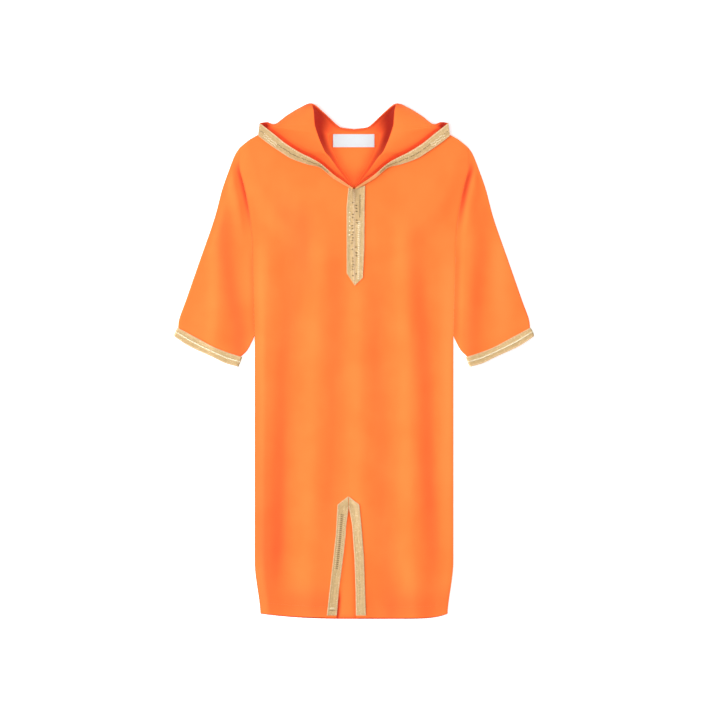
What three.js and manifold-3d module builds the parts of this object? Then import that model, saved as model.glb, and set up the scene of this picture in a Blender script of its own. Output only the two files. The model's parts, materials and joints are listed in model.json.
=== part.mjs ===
// A child's hooded djellaba laid flat on a surface, front side up, with the hood pushed back behind the neck.
// Millimetres. +Z is up from the surface, +Y points from hem to neck, and X runs across the chest.
// The left half is at negative X, as the viewer above the garment sees it.
import * as THREE from "three";
import { mergeVertices } from "three/addons/utils/BufferGeometryUtils.js";
import Module from "manifold-3d";

const wasm = await Module();
wasm.setup();

// Driving dimensions of the cloth
const WALL = 1.2; // cloth wall
const SEAM = 0.3; // space between pieces at a seam
const TRIM = 1.0; // thickness of the woven braid
const TRIM_GAP = 0.5; // space between the braid and the panel under it
const LAYERS = 2.4; // hidden hood layers under the upper back
const LIFT = LAYERS + SEAM; // how far those layers raise the panels
const STACK = 2 * WALL + SEAM; // back panel and front panel together

// Driving dimensions of the cut, from the centre front
const BODY_HALF = 163.8; // half the chest and skirt
const HEM_HALF = 154; // half the hem between its rounded corners
const HEM_SIDE_Y = -417; // hem at the side seams
const HEM_MID_Y = -425.5; // hem at the centre
const HEM_CORNER_Y = -330; // the side seams turn in from here down
const HEM_CORNER_RUN = 95;
const UNDERARM_Y = 41.3; // where sleeve and side seam part
const NECK_V_Y = 286; // bottom of the neck opening
const BACK_NECK_Y = 378; // top edge of the back panel at the centre
const LAYER_CENTRE_Y = 384; // centre of the oval that the hidden hood layers fill
const LAYER_HALF_X = 174;
const LAYER_HALF_Y = 198;
const LAYER_RAMP = 0.18; // share of that oval over which the panels come down again

// Soft folds of the front panel, one row each: a ridge from its upper to its lower end
const FRONT_FOLDS = [
  { topX: -139, topY: 230, bottomX: -150, bottomY: -400, height: 4.2, width: 19 },
  { topX: -50, topY: 235, bottomX: -72, bottomY: -415, height: 3.6, width: 22 },
  { topX: 12, topY: 150, bottomX: 14, bottomY: -415, height: 2.8, width: 19 },
  { topX: 88, topY: 225, bottomX: 104, bottomY: -415, height: 4.0, width: 21 },
];
const SLEEVE_FOLDS = [
  { topX: -216, topY: 250, bottomX: -228, bottomY: 40, height: 3.6, width: 17 },
  { topX: 188, topY: 240, bottomX: 190, bottomY: 30, height: 3.6, width: 17 },
];
const FOLD_FADE = 60; // length over which a fold comes up from the flat cloth
const FOLD_EDGE = 16; // folds die away this close to a panel's side
const HOOD_SLOPE = 0.545; // rise of the hood's braided edge for each millimetre out from the centre
const HOOD_CLEAR = 8; // folds start this far below that edge
const HOOD_RAMP = 45;
const BODY_COLUMNS = 22; // both body panels share one grid, so that they stay parallel
const SKIRT_ROWS = 18; // rows of that grid below the underarm

// Places across a flat tube, closer together at its two folds. The armhole has the same places down
// its length.
const ACROSS = [0, 0.012, 0.035, 0.1, 0.2, 0.31, 0.42, 0.53, 0.64, 0.75, 0.86, 0.94, 0.975, 0.99, 1];

// Outline of the left half. The right half mirrors it.
const ARMHOLE = [
  { x: -188.5, y: 352 },
  { x: -190.5, y: 332 },
  { x: -189, y: 316 },
  { x: -183, y: 295 },
  { x: -178, y: 274 },
  { x: -173.5, y: 249 },
  { x: -170.5, y: 224 },
  { x: -168, y: 191 },
  { x: -165.8, y: 117 },
  { x: -BODY_HALF, y: UNDERARM_Y },
];
const SHOULDER = [
  { x: -188.5, y: 352 },
  { x: -181, y: 358.5 },
  { x: -172, y: 365.5 },
  { x: -158, y: 373.5 },
  { x: -130, y: 380 },
  { x: -100, y: 383 },
  { x: -62, y: 385 },
  { x: -40, y: BACK_NECK_Y },
  { x: 0, y: BACK_NECK_Y },
];
const SLEEVE_TOP_EDGE = [
  { x: -188.5, y: 352 },
  { x: -196.4, y: 340 },
  { x: -206.3, y: 315 },
  { x: -217.8, y: 282 },
  { x: -231, y: 233 },
  { x: -254, y: 167 },
  { x: -277, y: 101 },
  { x: -287.5, y: 64 },
  { x: -289, y: 37.5 },
];
const SLEEVE_UNDER_EDGE = [
  { x: -BODY_HALF, y: UNDERARM_Y },
  { x: -175.5, y: 18.5 },
  { x: -188.3, y: 5.5 },
  { x: -197, y: -6.5 },
];
const CUFF_EDGE = [
  { x: -289, y: 37.5 },
  { x: -266, y: 22.5 },
  { x: -234, y: 8 },
  { x: -213, y: -1.5 },
  { x: -197, y: -6.5 },
];
const CUFF_TRIM_UPPER = [
  { x: -291.8, y: 55.5 },
  { x: -262, y: 39.5 },
  { x: -230, y: 22.5 },
  { x: -204, y: 12.5 },
  { x: -184.3, y: 6.4 },
];
const CUFF_TRIM_LOWER = [
  { x: -298, y: 41.5 },
  { x: -271.5, y: 24 },
  { x: -234, y: 6.8 },
  { x: -213, y: -3.4 },
  { x: -190.5, y: -9.8 },
];
const CUFF_CORNER = { x: -297, y: 40.4 }; // outer end of the cuff line, for the distance up the sleeve
const CUFF_NORMAL = { x: 0.439, y: 0.899 };
const CUFF_BAND = 20; // the sleeve lies over its braid this far up
const CUFF_RAMP = 25;

// The hood's left half, one row for each section from the neck seam over the crest to the braided face edge.
// From the braid's end on, the sections run out at the fold that turns under the shoulders.
const NECK_Z = 5.6; // height of the hood's neck seam
const HOOD_FACE = [
  {
    neckX: -1.2, neckY: 287.5, crestX: -2.0, crestY: 286.5, crestZ: 8.6,
    valleyX: -2.1, valleyY: 285.9, valleyZ: 8.5, lipX: -2.2, lipY: 285.4, lipZ: 8.7,
    endX: -2.4, endY: 283.4, endZ: 7.3,
  },
  {
    neckX: -10.5, neckY: 303.5, crestX: -13.2, crestY: 300.5, crestZ: 14,
    valleyX: -15.0, valleyY: 297.6, valleyZ: 10.4, lipX: -15.6, lipY: 294.6, lipZ: 12.6,
    endX: -16.4, endY: 290.5, endZ: 7.3,
  },
  {
    neckX: -20, neckY: 318, crestX: -24, crestY: 313.4, crestZ: 20,
    valleyX: -31.5, valleyY: 309.8, valleyZ: 9.6, lipX: -33, lipY: 306.8, lipZ: 13.6,
    endX: -35.5, endY: 302, endZ: 7.3,
  },
  {
    neckX: -26.5, neckY: 330, crestX: -33, crestY: 326, crestZ: 25,
    valleyX: -52, valleyY: 328.6, valleyZ: 8.6, lipX: -54.5, lipY: 325.2, lipZ: 13.8,
    endX: -56.1, endY: 318.6, endZ: 7.3,
  },
  {
    neckX: -32, neckY: 341.5, crestX: -40.5, crestY: 336.5, crestZ: 28.5,
    valleyX: -67, valleyY: 338.4, valleyZ: 7.8, lipX: -71, lipY: 335, lipZ: 13.2,
    endX: -78, endY: 324.5, endZ: 7.3,
  },
  {
    neckX: -37, neckY: 352, crestX: -47.5, crestY: 344.2, crestZ: 31.5,
    valleyX: -85, valleyY: 346.8, valleyZ: 7.5, lipX: -90, lipY: 344.5, lipZ: 13,
    endX: -104, endY: 334, endZ: 7.3,
  },
  {
    neckX: -40, neckY: 361, crestX: -52.5, crestY: 354.5, crestZ: 34,
    valleyX: -107, valleyY: 360.8, valleyZ: 7.5, lipX: -113, lipY: 359, lipZ: 13,
    endX: -124, endY: 346.5, endZ: 7.3,
  },
  {
    neckX: -41.5, neckY: 368, crestX: -57, crestY: 365, crestZ: 36,
    valleyX: -128, valleyY: 377.4, valleyZ: 7.6, lipX: -135, lipY: 376.6, lipZ: 13,
    endX: -143, endY: 359.5, endZ: 7.3,
  },
  {
    neckX: -41.5, neckY: 371.5, crestX: -60.5, crestY: 375, crestZ: 37,
    valleyX: -148, valleyY: 390, valleyZ: 8.5, lipX: -155.6, lipY: 392.6, lipZ: 12.5,
    endX: -158.4, endY: 371.8, endZ: 7.3,
  },
];
// The fold that turns under the shoulder, from the braid's outer end to the hood's peak
const HOOD_FOLD = [
  {
    neckX: -41.5, neckY: 371.5, crestX: -60.5, crestY: 375, crestZ: 37,
    valleyX: -148, valleyY: 390, valleyZ: 8.5, lipX: -155.6, lipY: 392.6, lipZ: 12.5,
  },
  {
    neckX: -40.5, neckY: 373.5, crestX: -63.5, crestY: 384, crestZ: 37,
    valleyX: -140, valleyY: 388.6, valleyZ: 7.6, lipX: -143.5, lipY: 394.2, lipZ: 4.4,
  },
  {
    neckX: -38, neckY: 374.8, crestX: -65.5, crestY: 391, crestZ: 36.5,
    valleyX: -126, valleyY: 388.5, valleyZ: 13.5, lipX: -130.3, lipY: 391.2, lipZ: 4.1,
  },
  {
    neckX: -34.5, neckY: 375.4, crestX: -66.6, crestY: 402, crestZ: 34,
    valleyX: -108.5, valleyY: 399.5, valleyZ: 15.5, lipX: -112.2, lipY: 404.3, lipZ: 4.1,
  },
  {
    neckX: -30, neckY: 375.7, crestX: -67.3, crestY: 412.5, crestZ: 29,
    valleyX: -87.5, valleyY: 412.5, valleyZ: 16.5, lipX: -90.8, lipY: 417.4, lipZ: 4.1,
  },
  {
    neckX: -25, neckY: 375.9, crestX: -68.3, crestY: 420.5, crestZ: 20,
    valleyX: -69.2, valleyY: 422.5, valleyZ: 16.5, lipX: -69.8, lipY: 425.5, lipZ: 4.1,
  },
];
// The low edge from the peak to the middle of the back neck
const HOOD_BACK = [
  HOOD_FOLD[HOOD_FOLD.length - 1],
  {
    neckX: -19, neckY: 376, crestX: -53, crestY: 408.5, crestZ: 15.5,
    valleyX: -52.4, valleyY: 410.5, valleyZ: 12.5, lipX: -51.2, lipY: 412.6, lipZ: 4.1,
  },
  {
    neckX: -13, neckY: 376, crestX: -37.5, crestY: 394, crestZ: 11,
    valleyX: -36.8, valleyY: 395.8, valleyZ: 9, lipX: -35.6, lipY: 397.6, lipZ: 4.1,
  },
  {
    neckX: -7, neckY: 376, crestX: -24.6, crestY: 383.6, crestZ: 8,
    valleyX: -24.2, valleyY: 385.2, valleyZ: 7, lipX: -23.8, lipY: 386.7, lipZ: 4.1,
  },
  {
    neckX: -0.15, neckY: 376, crestX: -0.15, crestY: 380.4, crestZ: 7,
    valleyX: -0.15, valleyY: 381.8, valleyZ: 6.3, lipX: -0.15, lipY: 383.2, lipZ: 4.1,
  },
];
const HOOD_STEPS = 2; // sections made between two rows
const INNER_SHARES = [1, 0.7, 0.4, 0.16]; // neck to crest, with the crest at 0
const OUTER_SHARES = [0, 0.14, 0.4, 0.7, 1]; // crest to valley
const INNER_POWER = 1.35; // above 1 the inner side is steepest at the crest
const OUTER_POWER = 1.15;
const STEEPEST = 3; // a steep wall is at most this thick, measured upright

// Hidden hood layers: the outline of the left half from the back neck round to the tip of the hood
const LAYER_OUTLINE = [
  { x: 0, y: 381.5 },
  { x: -23, y: 384.5 },
  { x: -36, y: 395.5 },
  { x: -52, y: 410.5 },
  { x: -69.5, y: 423 },
  { x: -90, y: 415 },
  { x: -111, y: 402 },
  { x: -129, y: 389.5 },
  { x: -143, y: 391.5 },
  { x: -154, y: 390 },
  { x: -155, y: 372 },
  { x: -150, y: 340 },
  { x: -134, y: 300 },
  { x: -108, y: 262 },
  { x: -74, y: 232 },
  { x: -36, y: 213 },
  { x: 0, y: 208 },
];
const LAYER_CENTRE = { x: 0, y: 330 };
// Rings of that solid, from the surface up: two rounded layers with a step between them
const LAYER_RINGS = [
  { z: 0, inset: 0.9 },
  { z: 0.5, inset: 0 },
  { z: 1.1, inset: 0.4 },
  { z: 1.3, inset: 2.6 },
  { z: 2.0, inset: 2.9 },
  { z: LAYERS, inset: 4 },
];

// Neck label, placket braid and hem slit
const LABEL = { left: -34.5, right: 33.5, top: 374.3, bottom: 352.8, thickness: 0.8 };
const PLACKET = {
  left: -12.3,
  right: 17.6,
  leftTopY: 283.5,
  rightTopY: 288.6,
  innerTopY: 280.5,
  leftCornerY: 144.5,
  rightCornerY: 137.5,
  tipX: 1.2,
  tipY: 124.7,
  halfGap: 0.2,
};
const NECK_SLIT_HALF = 0.5; // the front is slit down the centre under the placket
const NECK_SLIT_TOP = 281;
const NECK_SLIT_END = 150;
const NECK_SHOULDER = { x: -62, y: 385 }; // where the neckline meets the shoulder line
const NECK_CUT_TOP = 400;
const NECK_CORNER = { x: -5.2, y: 286 }; // where the slit opens into the neckline
const NECK_CLEAR = 2.6; // the front panel's neckline lies this far outside the hood's neck seam
const SLIT_ROWS = [
  { y: -223.3, outerLeft: -9.4, innerLeft: -9.4, innerRight: -9.2, outerRight: -9.2 },
  { y: -237, outerLeft: -27.4, innerLeft: -12.2, innerRight: -5.4, outerRight: 8.7 },
  { y: -285, outerLeft: -30, innerLeft: -13.4, innerRight: -2.3, outerRight: 13.5 },
  { y: -327, outerLeft: -34.6, innerLeft: -18.2, innerRight: 0.8, outerRight: 16.6 },
  { y: -378, outerLeft: -40.3, innerLeft: -24.8, innerRight: 2.5, outerRight: 18.2 },
  { y: -420, outerLeft: -45, innerLeft: -28.4, innerRight: 3.1, outerRight: 19.8 },
];
const SLIT_APEX_Y = -241; // top of the opening itself
const SLIT_APEX_X = -8.6;
const SLIT_EDGE_INSET = 0.6; // the braid stands this far past the cut cloth

const clamp01 = (t) => Math.min(1, Math.max(0, t));
const mix = (a, b, t) => a + (b - a) * t;

function smooth(t) {
  const s = clamp01(t);
  return s * s * (3 - 2 * s);
}

// A value read off a table that is ordered by one of its columns, straight between rows.
function readTable(rows, key, column, at) {
  const rising = rows[rows.length - 1][key] > rows[0][key];
  const ordered = rising ? rows : [...rows].reverse();
  if (at <= ordered[0][key]) return ordered[0][column];
  for (let i = 1; i < ordered.length; i += 1) {
    const low = ordered[i - 1];
    const high = ordered[i];
    if (at <= high[key]) {
      return mix(low[column], high[column], (at - low[key]) / (high[key] - low[key]));
    }
  }
  return ordered[ordered.length - 1][column];
}

// A smooth curve through a table of x and y, with points at even lengths along it.
function curveThrough(rows) {
  const curve = new THREE.SplineCurve(rows.map((r) => new THREE.Vector2(r.x, r.y)));
  return (t) => curve.getPointAt(clamp01(t));
}

// How far the hidden hood layers raise the cloth above them.
function layerLift(x, y) {
  const reach = Math.hypot(x / LAYER_HALF_X, (y - LAYER_CENTRE_Y) / LAYER_HALF_Y);
  return LIFT * (1 - smooth((reach - 1) / LAYER_RAMP));
}

function foldHeight(fold, x, y) {
  const share = (fold.topY - y) / (fold.topY - fold.bottomY);
  const centre = mix(fold.topX, fold.bottomX, share);
  const fadeIn = smooth((fold.topY - y) / FOLD_FADE + 0.5);
  const fadeOut = smooth((y - fold.bottomY) / FOLD_FADE + 1);
  return fold.height * Math.exp(-(((x - centre) / fold.width) ** 2)) * fadeIn * fadeOut;
}

const foldsHeight = (folds, x, y) => folds.reduce((sum, fold) => sum + foldHeight(fold, x, y), 0);

// Half width of the body panels at a height.
function bodyHalf(y) {
  if (y > UNDERARM_Y) return -readTable(ARMHOLE, "y", "x", y);
  const corner = smooth((HEM_CORNER_Y - y) / HEM_CORNER_RUN);
  return mix(BODY_HALF, HEM_HALF, corner);
}

const hemY = (x) => mix(HEM_MID_Y, HEM_SIDE_Y, (x / HEM_HALF) ** 4);

const shoulderY = (x) => readTable(SHOULDER, "x", "y", -Math.abs(x));

// The upper face of the front panel.
function frontTop(x, y) {
  const braidLine = NECK_V_Y + HOOD_SLOPE * Math.abs(x);
  const belowHood = smooth((braidLine - y - HOOD_CLEAR) / HOOD_RAMP);
  const side = smooth((bodyHalf(y) - Math.abs(x)) / FOLD_EDGE);
  return layerLift(x, y) + STACK + foldsHeight(FRONT_FOLDS, x, y) * belowHood * side;
}

// Distance up the sleeve from the cuff line, the same on both sides.
function cuffDistance(x, y) {
  return (-Math.abs(x) - CUFF_CORNER.x) * CUFF_NORMAL.x + (y - CUFF_CORNER.y) * CUFF_NORMAL.y;
}

// Sleeves rest on the surface, on the edge of the hood layers, and on the braid under their cuffs.
function sleeveBase(x, y) {
  const overBraid = 1 - smooth((cuffDistance(x, y) - CUFF_BAND) / CUFF_RAMP);
  return layerLift(x, y) + (TRIM + SEAM) * overBraid;
}

function sleeveTop(x, y) {
  const clearOfSeam = smooth((Math.abs(x) - bodyHalf(Math.max(y, UNDERARM_Y))) / FOLD_EDGE);
  const clearOfEdge = smooth((readTable(SLEEVE_TOP_EDGE, "y", "x", y) + Math.abs(x)) / -FOLD_EDGE);
  return sleeveBase(x, y) + STACK + foldsHeight(SLEEVE_FOLDS, x, y) * clearOfSeam * clearOfEdge;
}

// Geometry from shared vertices and triangles, turned so that its faces look out.
function closedGeometry(vertices, triangles) {
  let volume = 0;
  for (const [a, b, c] of triangles) {
    volume += vertices[a].dot(new THREE.Vector3().crossVectors(vertices[b], vertices[c])) / 6;
  }
  const turned = volume < 0 ? triangles.map(([a, b, c]) => [a, c, b]) : triangles;
  const geometry = new THREE.BufferGeometry();
  const numbers = vertices.flatMap((v) => v.toArray());
  geometry.setAttribute("position", new THREE.Float32BufferAttribute(numbers, 3));
  geometry.setIndex(turned.flat());
  return geometry;
}

// A cloth wall from a grid of points, each with x, y, top and bottom. Rows that meet in a point are
// joined there.
function sheetGeometry(grid) {
  const tops = [];
  const bottoms = [];
  const known = new Map();
  const ids = grid.map((row) =>
    row.map((p) => {
      const key = [p.x, p.y, p.top].map((v) => Math.round(v * 1000)).join();
      if (!known.has(key)) {
        known.set(key, tops.length);
        tops.push(new THREE.Vector3(p.x, p.y, p.top));
        bottoms.push(new THREE.Vector3(p.x, p.y, p.bottom));
      }
      return known.get(key);
    }),
  );
  const faces = [];
  for (let i = 1; i < ids.length; i += 1) {
    for (let j = 1; j < ids[i].length; j += 1) {
      const [a, b, c, d] = [ids[i - 1][j - 1], ids[i][j - 1], ids[i][j], ids[i - 1][j]];
      for (const face of [[a, b, c], [a, c, d]]) {
        if (new Set(face).size === 3) faces.push(face);
      }
    }
  }
  return wallFromFaces(tops, bottoms, faces);
}

// Upper faces, the same faces turned over below them, and a rim along every open edge.
function wallFromFaces(tops, bottoms, faces) {
  const count = tops.length;
  const edges = new Set();
  for (const [a, b, c] of faces) {
    edges.add(`${a},${b}`);
    edges.add(`${b},${c}`);
    edges.add(`${c},${a}`);
  }
  const triangles = [];
  for (const [a, b, c] of faces) {
    triangles.push([a, b, c], [a + count, c + count, b + count]);
    for (const [p, q] of [[a, b], [b, c], [c, a]]) {
      if (!edges.has(`${q},${p}`)) triangles.push([q, p, p + count], [q, p + count, q + count]);
    }
  }
  return closedGeometry([...tops, ...bottoms], triangles);
}

// A tube wall from rings of outer and inner points, open at both ends.
function tubeGeometry(rings) {
  const around = rings[0].outer.length;
  const vertices = rings.flatMap((ring) => [...ring.outer, ...ring.inner]);
  const outer = (i, j) => i * 2 * around + (j % around);
  const inner = (i, j) => outer(i, j) + around;
  const triangles = [];
  const last = rings.length - 1;
  for (let j = 0; j < around; j += 1) {
    for (let i = 0; i < last; i += 1) {
      triangles.push([outer(i, j), outer(i + 1, j), outer(i + 1, j + 1)]);
      triangles.push([outer(i, j), outer(i + 1, j + 1), outer(i, j + 1)]);
      triangles.push([inner(i, j), inner(i + 1, j + 1), inner(i + 1, j)]);
      triangles.push([inner(i, j), inner(i, j + 1), inner(i + 1, j + 1)]);
    }
    triangles.push([outer(0, j), outer(0, j + 1), inner(0, j + 1)]);
    triangles.push([outer(0, j), inner(0, j + 1), inner(0, j)]);
    triangles.push([outer(last, j), inner(last, j + 1), outer(last, j + 1)]);
    triangles.push([outer(last, j), inner(last, j), inner(last, j + 1)]);
  }
  return closedGeometry(vertices, triangles);
}

// A closed solid from rings of equal length, with a flat cap at each end.
function stackedGeometry(rings) {
  const around = rings[0].length;
  const vertices = rings.flat();
  const triangles = [];
  for (let i = 1; i < rings.length; i += 1) {
    for (let j = 0; j < around; j += 1) {
      const [a, b] = [(i - 1) * around + j, (i - 1) * around + ((j + 1) % around)];
      triangles.push([a, b, b + around], [a, b + around, a + around]);
    }
  }
  const top = (rings.length - 1) * around;
  for (const [a, b, c] of THREE.ShapeUtils.triangulateShape(rings[0], [])) {
    triangles.push([a, c, b], [a + top, b + top, c + top]);
  }
  return closedGeometry(vertices, triangles);
}

function toSolid(geometry) {
  const bare = geometry.clone();
  for (const name of Object.keys(bare.attributes)) {
    if (name !== "position") bare.deleteAttribute(name);
  }
  const merged = mergeVertices(bare, 1e-4);
  return new wasm.Manifold(
    new wasm.Mesh({
      numProp: 3,
      vertProperties: merged.attributes.position.array,
      triVerts: new Uint32Array(merged.index.array),
    }),
  );
}

function fromSolid(solid) {
  const mesh = solid.getMesh();
  const geometry = new THREE.BufferGeometry();
  geometry.setAttribute("position", new THREE.Float32BufferAttribute(mesh.vertProperties, 3));
  geometry.setIndex([...mesh.triVerts]);
  return geometry;
}

// An upright prism that reaches through every layer, for cutting openings.
function uprightPrism(points) {
  const depth = 40;
  const shape = new THREE.Shape(points.map((p) => new THREE.Vector2(p.x, p.y)));
  return new THREE.ExtrudeGeometry(shape, { depth, bevelEnabled: false }).translate(0, 0, -depth / 2);
}

const mirrored = (points) => points.map((p) => ({ ...p, x: -p.x })).reverse();

// The body's cut filled with a grid: shoulder line above, hem below, armhole and side seams at the sides.
function bodyGrid(levels) {
  const armholeShare = (ARMHOLE[0].y - UNDERARM_Y) / (ARMHOLE[0].y - HEM_SIDE_Y);
  const downShares = ACROSS.map((v) => v * armholeShare);
  for (let i = 1; i <= SKIRT_ROWS; i += 1) downShares.push(mix(armholeShare, 1, i / SKIRT_ROWS));
  const grid = [];
  for (const down of downShares) {
    const line = [];
    for (let j = 0; j <= BODY_COLUMNS; j += 1) {
      const across = (2 * j) / BODY_COLUMNS - 1;
      const topX = across * -SHOULDER[0].x;
      const y = mix(shoulderY(topX), hemY(across * HEM_HALF), down);
      const x = across * (y > SHOULDER[0].y ? -SHOULDER[0].x : bodyHalf(y));
      line.push({ x, y, ...levels(x, y) });
    }
    grid.push(line);
  }
  return grid;
}

function backBody() {
  const grid = bodyGrid((x, y) => {
    const base = layerLift(x, y);
    return { top: base + WALL, bottom: base };
  });
  return sheetGeometry(grid);
}

// The neck opening and its centre slit, cut just outside the hood's neck seam.
function neckCut() {
  const side = HOOD_FACE.slice(1).map((r) => ({ x: r.neckX - NECK_CLEAR, y: r.neckY }));
  const left = [
    { x: -NECK_SLIT_HALF, y: NECK_SLIT_END },
    { x: -NECK_SLIT_HALF, y: NECK_SLIT_TOP },
    NECK_CORNER,
    ...side,
    NECK_SHOULDER,
    { x: NECK_SHOULDER.x, y: NECK_CUT_TOP },
  ];
  return uprightPrism([...left, ...mirrored(left)]);
}

// The hem slit, which narrows to its top between the two braids.
function slitCut() {
  const rows = SLIT_ROWS.filter((r) => r.y < SLIT_APEX_Y);
  const leftEdge = rows.map((r) => ({ x: r.innerLeft - SLIT_EDGE_INSET, y: r.y }));
  const rightEdge = rows.map((r) => ({ x: r.innerRight + SLIT_EDGE_INSET, y: r.y }));
  const below = -440;
  return uprightPrism([
    { x: SLIT_APEX_X, y: SLIT_APEX_Y },
    ...leftEdge,
    { x: leftEdge[leftEdge.length - 1].x, y: below },
    { x: rightEdge[rightEdge.length - 1].x, y: below },
    ...rightEdge.reverse(),
  ]);
}

const frontGrid = bodyGrid((x, y) => {
  const top = frontTop(x, y);
  return { top, bottom: top - WALL };
});

const ON_EDGE = 1e-6; // a place this little outside a triangle counts as on its edge

// Height of the front panel's upper face as built, read off the triangle of its grid that lies over a place.
function builtFrontTop(x, y) {
  for (let i = 1; i < frontGrid.length; i += 1) {
    for (let j = 1; j < frontGrid[i].length; j += 1) {
      const [a, d] = [frontGrid[i - 1][j - 1], frontGrid[i - 1][j]];
      const [b, c] = [frontGrid[i][j - 1], frontGrid[i][j]];
      for (const [p, q, r] of [[a, b, c], [a, c, d]]) {
        const area = (q.x - p.x) * (r.y - p.y) - (r.x - p.x) * (q.y - p.y);
        const s = ((x - p.x) * (r.y - p.y) - (r.x - p.x) * (y - p.y)) / area;
        const t = ((q.x - p.x) * (y - p.y) - (x - p.x) * (q.y - p.y)) / area;
        const inside = s >= -ON_EDGE && t >= -ON_EDGE && s + t <= 1 + ON_EDGE;
        if (inside) return p.top + s * (q.top - p.top) + t * (r.top - p.top);
      }
    }
  }
  return frontTop(x, y);
}

function frontBody() {
  const solid = toSolid(sheetGeometry(frontGrid)).subtract(toSolid(neckCut())).subtract(toSolid(slitCut()));
  return fromSolid(solid);
}

// Points over the sleeve between its four edges, u from armhole to cuff and v from upper to under edge.
const sleeveEdges = {
  armhole: (v) => {
    const y = mix(ARMHOLE[0].y, UNDERARM_Y, v);
    return new THREE.Vector2(readTable(ARMHOLE, "y", "x", y) - SEAM, y);
  },
  cuff: curveThrough(CUFF_EDGE),
  upper: curveThrough(SLEEVE_TOP_EDGE.map((p, i) => (i === 0 ? { x: p.x - SEAM, y: p.y } : p))),
  under: curveThrough(SLEEVE_UNDER_EDGE.map((p, i) => (i === 0 ? { x: p.x - SEAM, y: p.y } : p))),
};

function sleevePoint(u, v) {
  const { armhole, cuff, upper, under } = sleeveEdges;
  const across = armhole(v).multiplyScalar(1 - u).add(cuff(v).multiplyScalar(u));
  const along = upper(u).multiplyScalar(1 - v).add(under(u).multiplyScalar(v));
  const corners = armhole(0)
    .multiplyScalar((1 - u) * (1 - v))
    .add(armhole(1).multiplyScalar((1 - u) * v))
    .add(cuff(0).multiplyScalar(u * (1 - v)))
    .add(cuff(1).multiplyScalar(u * v));
  return across.add(along).sub(corners);
}

const FOLD_ROUND = 2.6; // distance from a fold at which the tube has its full height
const FOLD_INSET = 1.2; // how many walls the inside stops short of the fold

// One ring round a flat tube: over the top from fold to fold, and back underneath.
function flatRing(place, width, wall, levels) {
  const loop = (inset, thin) => {
    const at = (share) => {
      const v = inset / width + share * (1 - (2 * inset) / width);
      const p = place(v);
      const { bottom, top } = levels(p.x, p.y);
      const edge = Math.min(v, 1 - v) * width - inset;
      const rise = Math.sqrt(1 - (1 - clamp01(edge / FOLD_ROUND)) ** 2);
      const middle = bottom + (wall + SEAM / 2);
      return { p, rise, middle, up: top - middle - thin, down: middle - bottom - thin };
    };
    const upper = ACROSS.map((share) => {
      const q = at(share);
      return new THREE.Vector3(q.p.x, q.p.y, q.middle + q.up * q.rise);
    });
    const lower = ACROSS.slice(1, -1).map((share) => {
      const q = at(share);
      return new THREE.Vector3(q.p.x, q.p.y, q.middle - q.down * q.rise);
    });
    return [...upper, ...lower.reverse()];
  };
  return { outer: loop(0, 0), inner: loop(wall * FOLD_INSET, wall) };
}

function mirrorRings(rings) {
  const flip = (points) => points.map((p) => new THREE.Vector3(-p.x, p.y, p.z));
  return rings.map((ring) => ({ outer: flip(ring.outer), inner: flip(ring.inner) }));
}

const SLEEVE_ROWS = [0, 0.06, 0.18, 0.32, 0.46, 0.6, 0.73, 0.85, 0.94, 1];

// side is -1 for the left sleeve and 1 for the right one.
function sleeve(side) {
  const rings = SLEEVE_ROWS.map((u) => {
    const width = sleevePoint(u, 0).distanceTo(sleevePoint(u, 1));
    return flatRing((v) => sleevePoint(u, v), width, WALL, (x, y) => ({
      bottom: sleeveBase(x, y),
      top: sleeveTop(side * Math.abs(x), y),
    }));
  });
  return tubeGeometry(side < 0 ? rings : mirrorRings(rings));
}

function cuffTrim(side) {
  const upper = curveThrough(CUFF_TRIM_UPPER);
  const lower = curveThrough(CUFF_TRIM_LOWER);
  const rings = [0, 0.33, 0.67, 1].map((w) => {
    const place = (v) => upper(v).multiplyScalar(1 - w).add(lower(v).multiplyScalar(w));
    const width = place(0).distanceTo(place(1));
    return flatRing(place, width, TRIM, (x, y) => ({
      bottom: 0,
      top: sleeveTop(side * Math.abs(x), y) + SEAM + TRIM,
    }));
  });
  return tubeGeometry(side < 0 ? rings : mirrorRings(rings));
}

// Rows between the hood's table rows, on a smooth curve through each column.
function denseRows(rows) {
  const columns = Object.keys(rows[0]);
  const dense = [];
  for (let i = 0; i < rows.length - 1; i += 1) {
    for (let k = 0; k < HOOD_STEPS; k += 1) {
      const t = k / HOOD_STEPS;
      const row = {};
      for (const name of columns) {
        const [p, a, b, q] = [i - 1, i, i + 1, i + 2].map(
          (n) => rows[Math.min(rows.length - 1, Math.max(0, n))][name],
        );
        row[name] =
          0.5 *
          (2 * a + (b - p) * t + (2 * p - 5 * a + 4 * b - q) * t ** 2 + (3 * a - p - 3 * b + q) * t ** 3);
      }
      dense.push(row);
    }
  }
  dense.push(rows[rows.length - 1]);
  return dense;
}

const hoodFaceRows = denseRows(HOOD_FACE);
// Past the braid a section has no turned edge, so its end is the fold itself.
const hoodFoldRows = [...denseRows(HOOD_FOLD), ...denseRows(HOOD_BACK).slice(1)].map((r) => ({
  ...r,
  endX: r.lipX,
  endY: r.lipY,
  endZ: r.lipZ,
}));

const PAST_NECK = 2; // the neck's floor goes on this far past the back neck
const PAST_SHOULDER = 4; // and the front panel's this far past the shoulder line
const NECK_SIDE = 2; // and this far outside the neck seam

// The lowest a hood wall may reach: over the front panel, in the neck opening, or over the hidden layers.
function hoodFloor(x, y) {
  const neckSide = readTable(HOOD_FACE, "neckY", "neckX", y) - NECK_SIDE;
  if (y < BACK_NECK_Y + PAST_NECK && -Math.abs(x) > neckSide) return LIFT + WALL + SEAM;
  return y < shoulderY(x) + PAST_SHOULDER ? LIFT + STACK + SEAM : LIFT + SEAM / 2;
}

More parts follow.
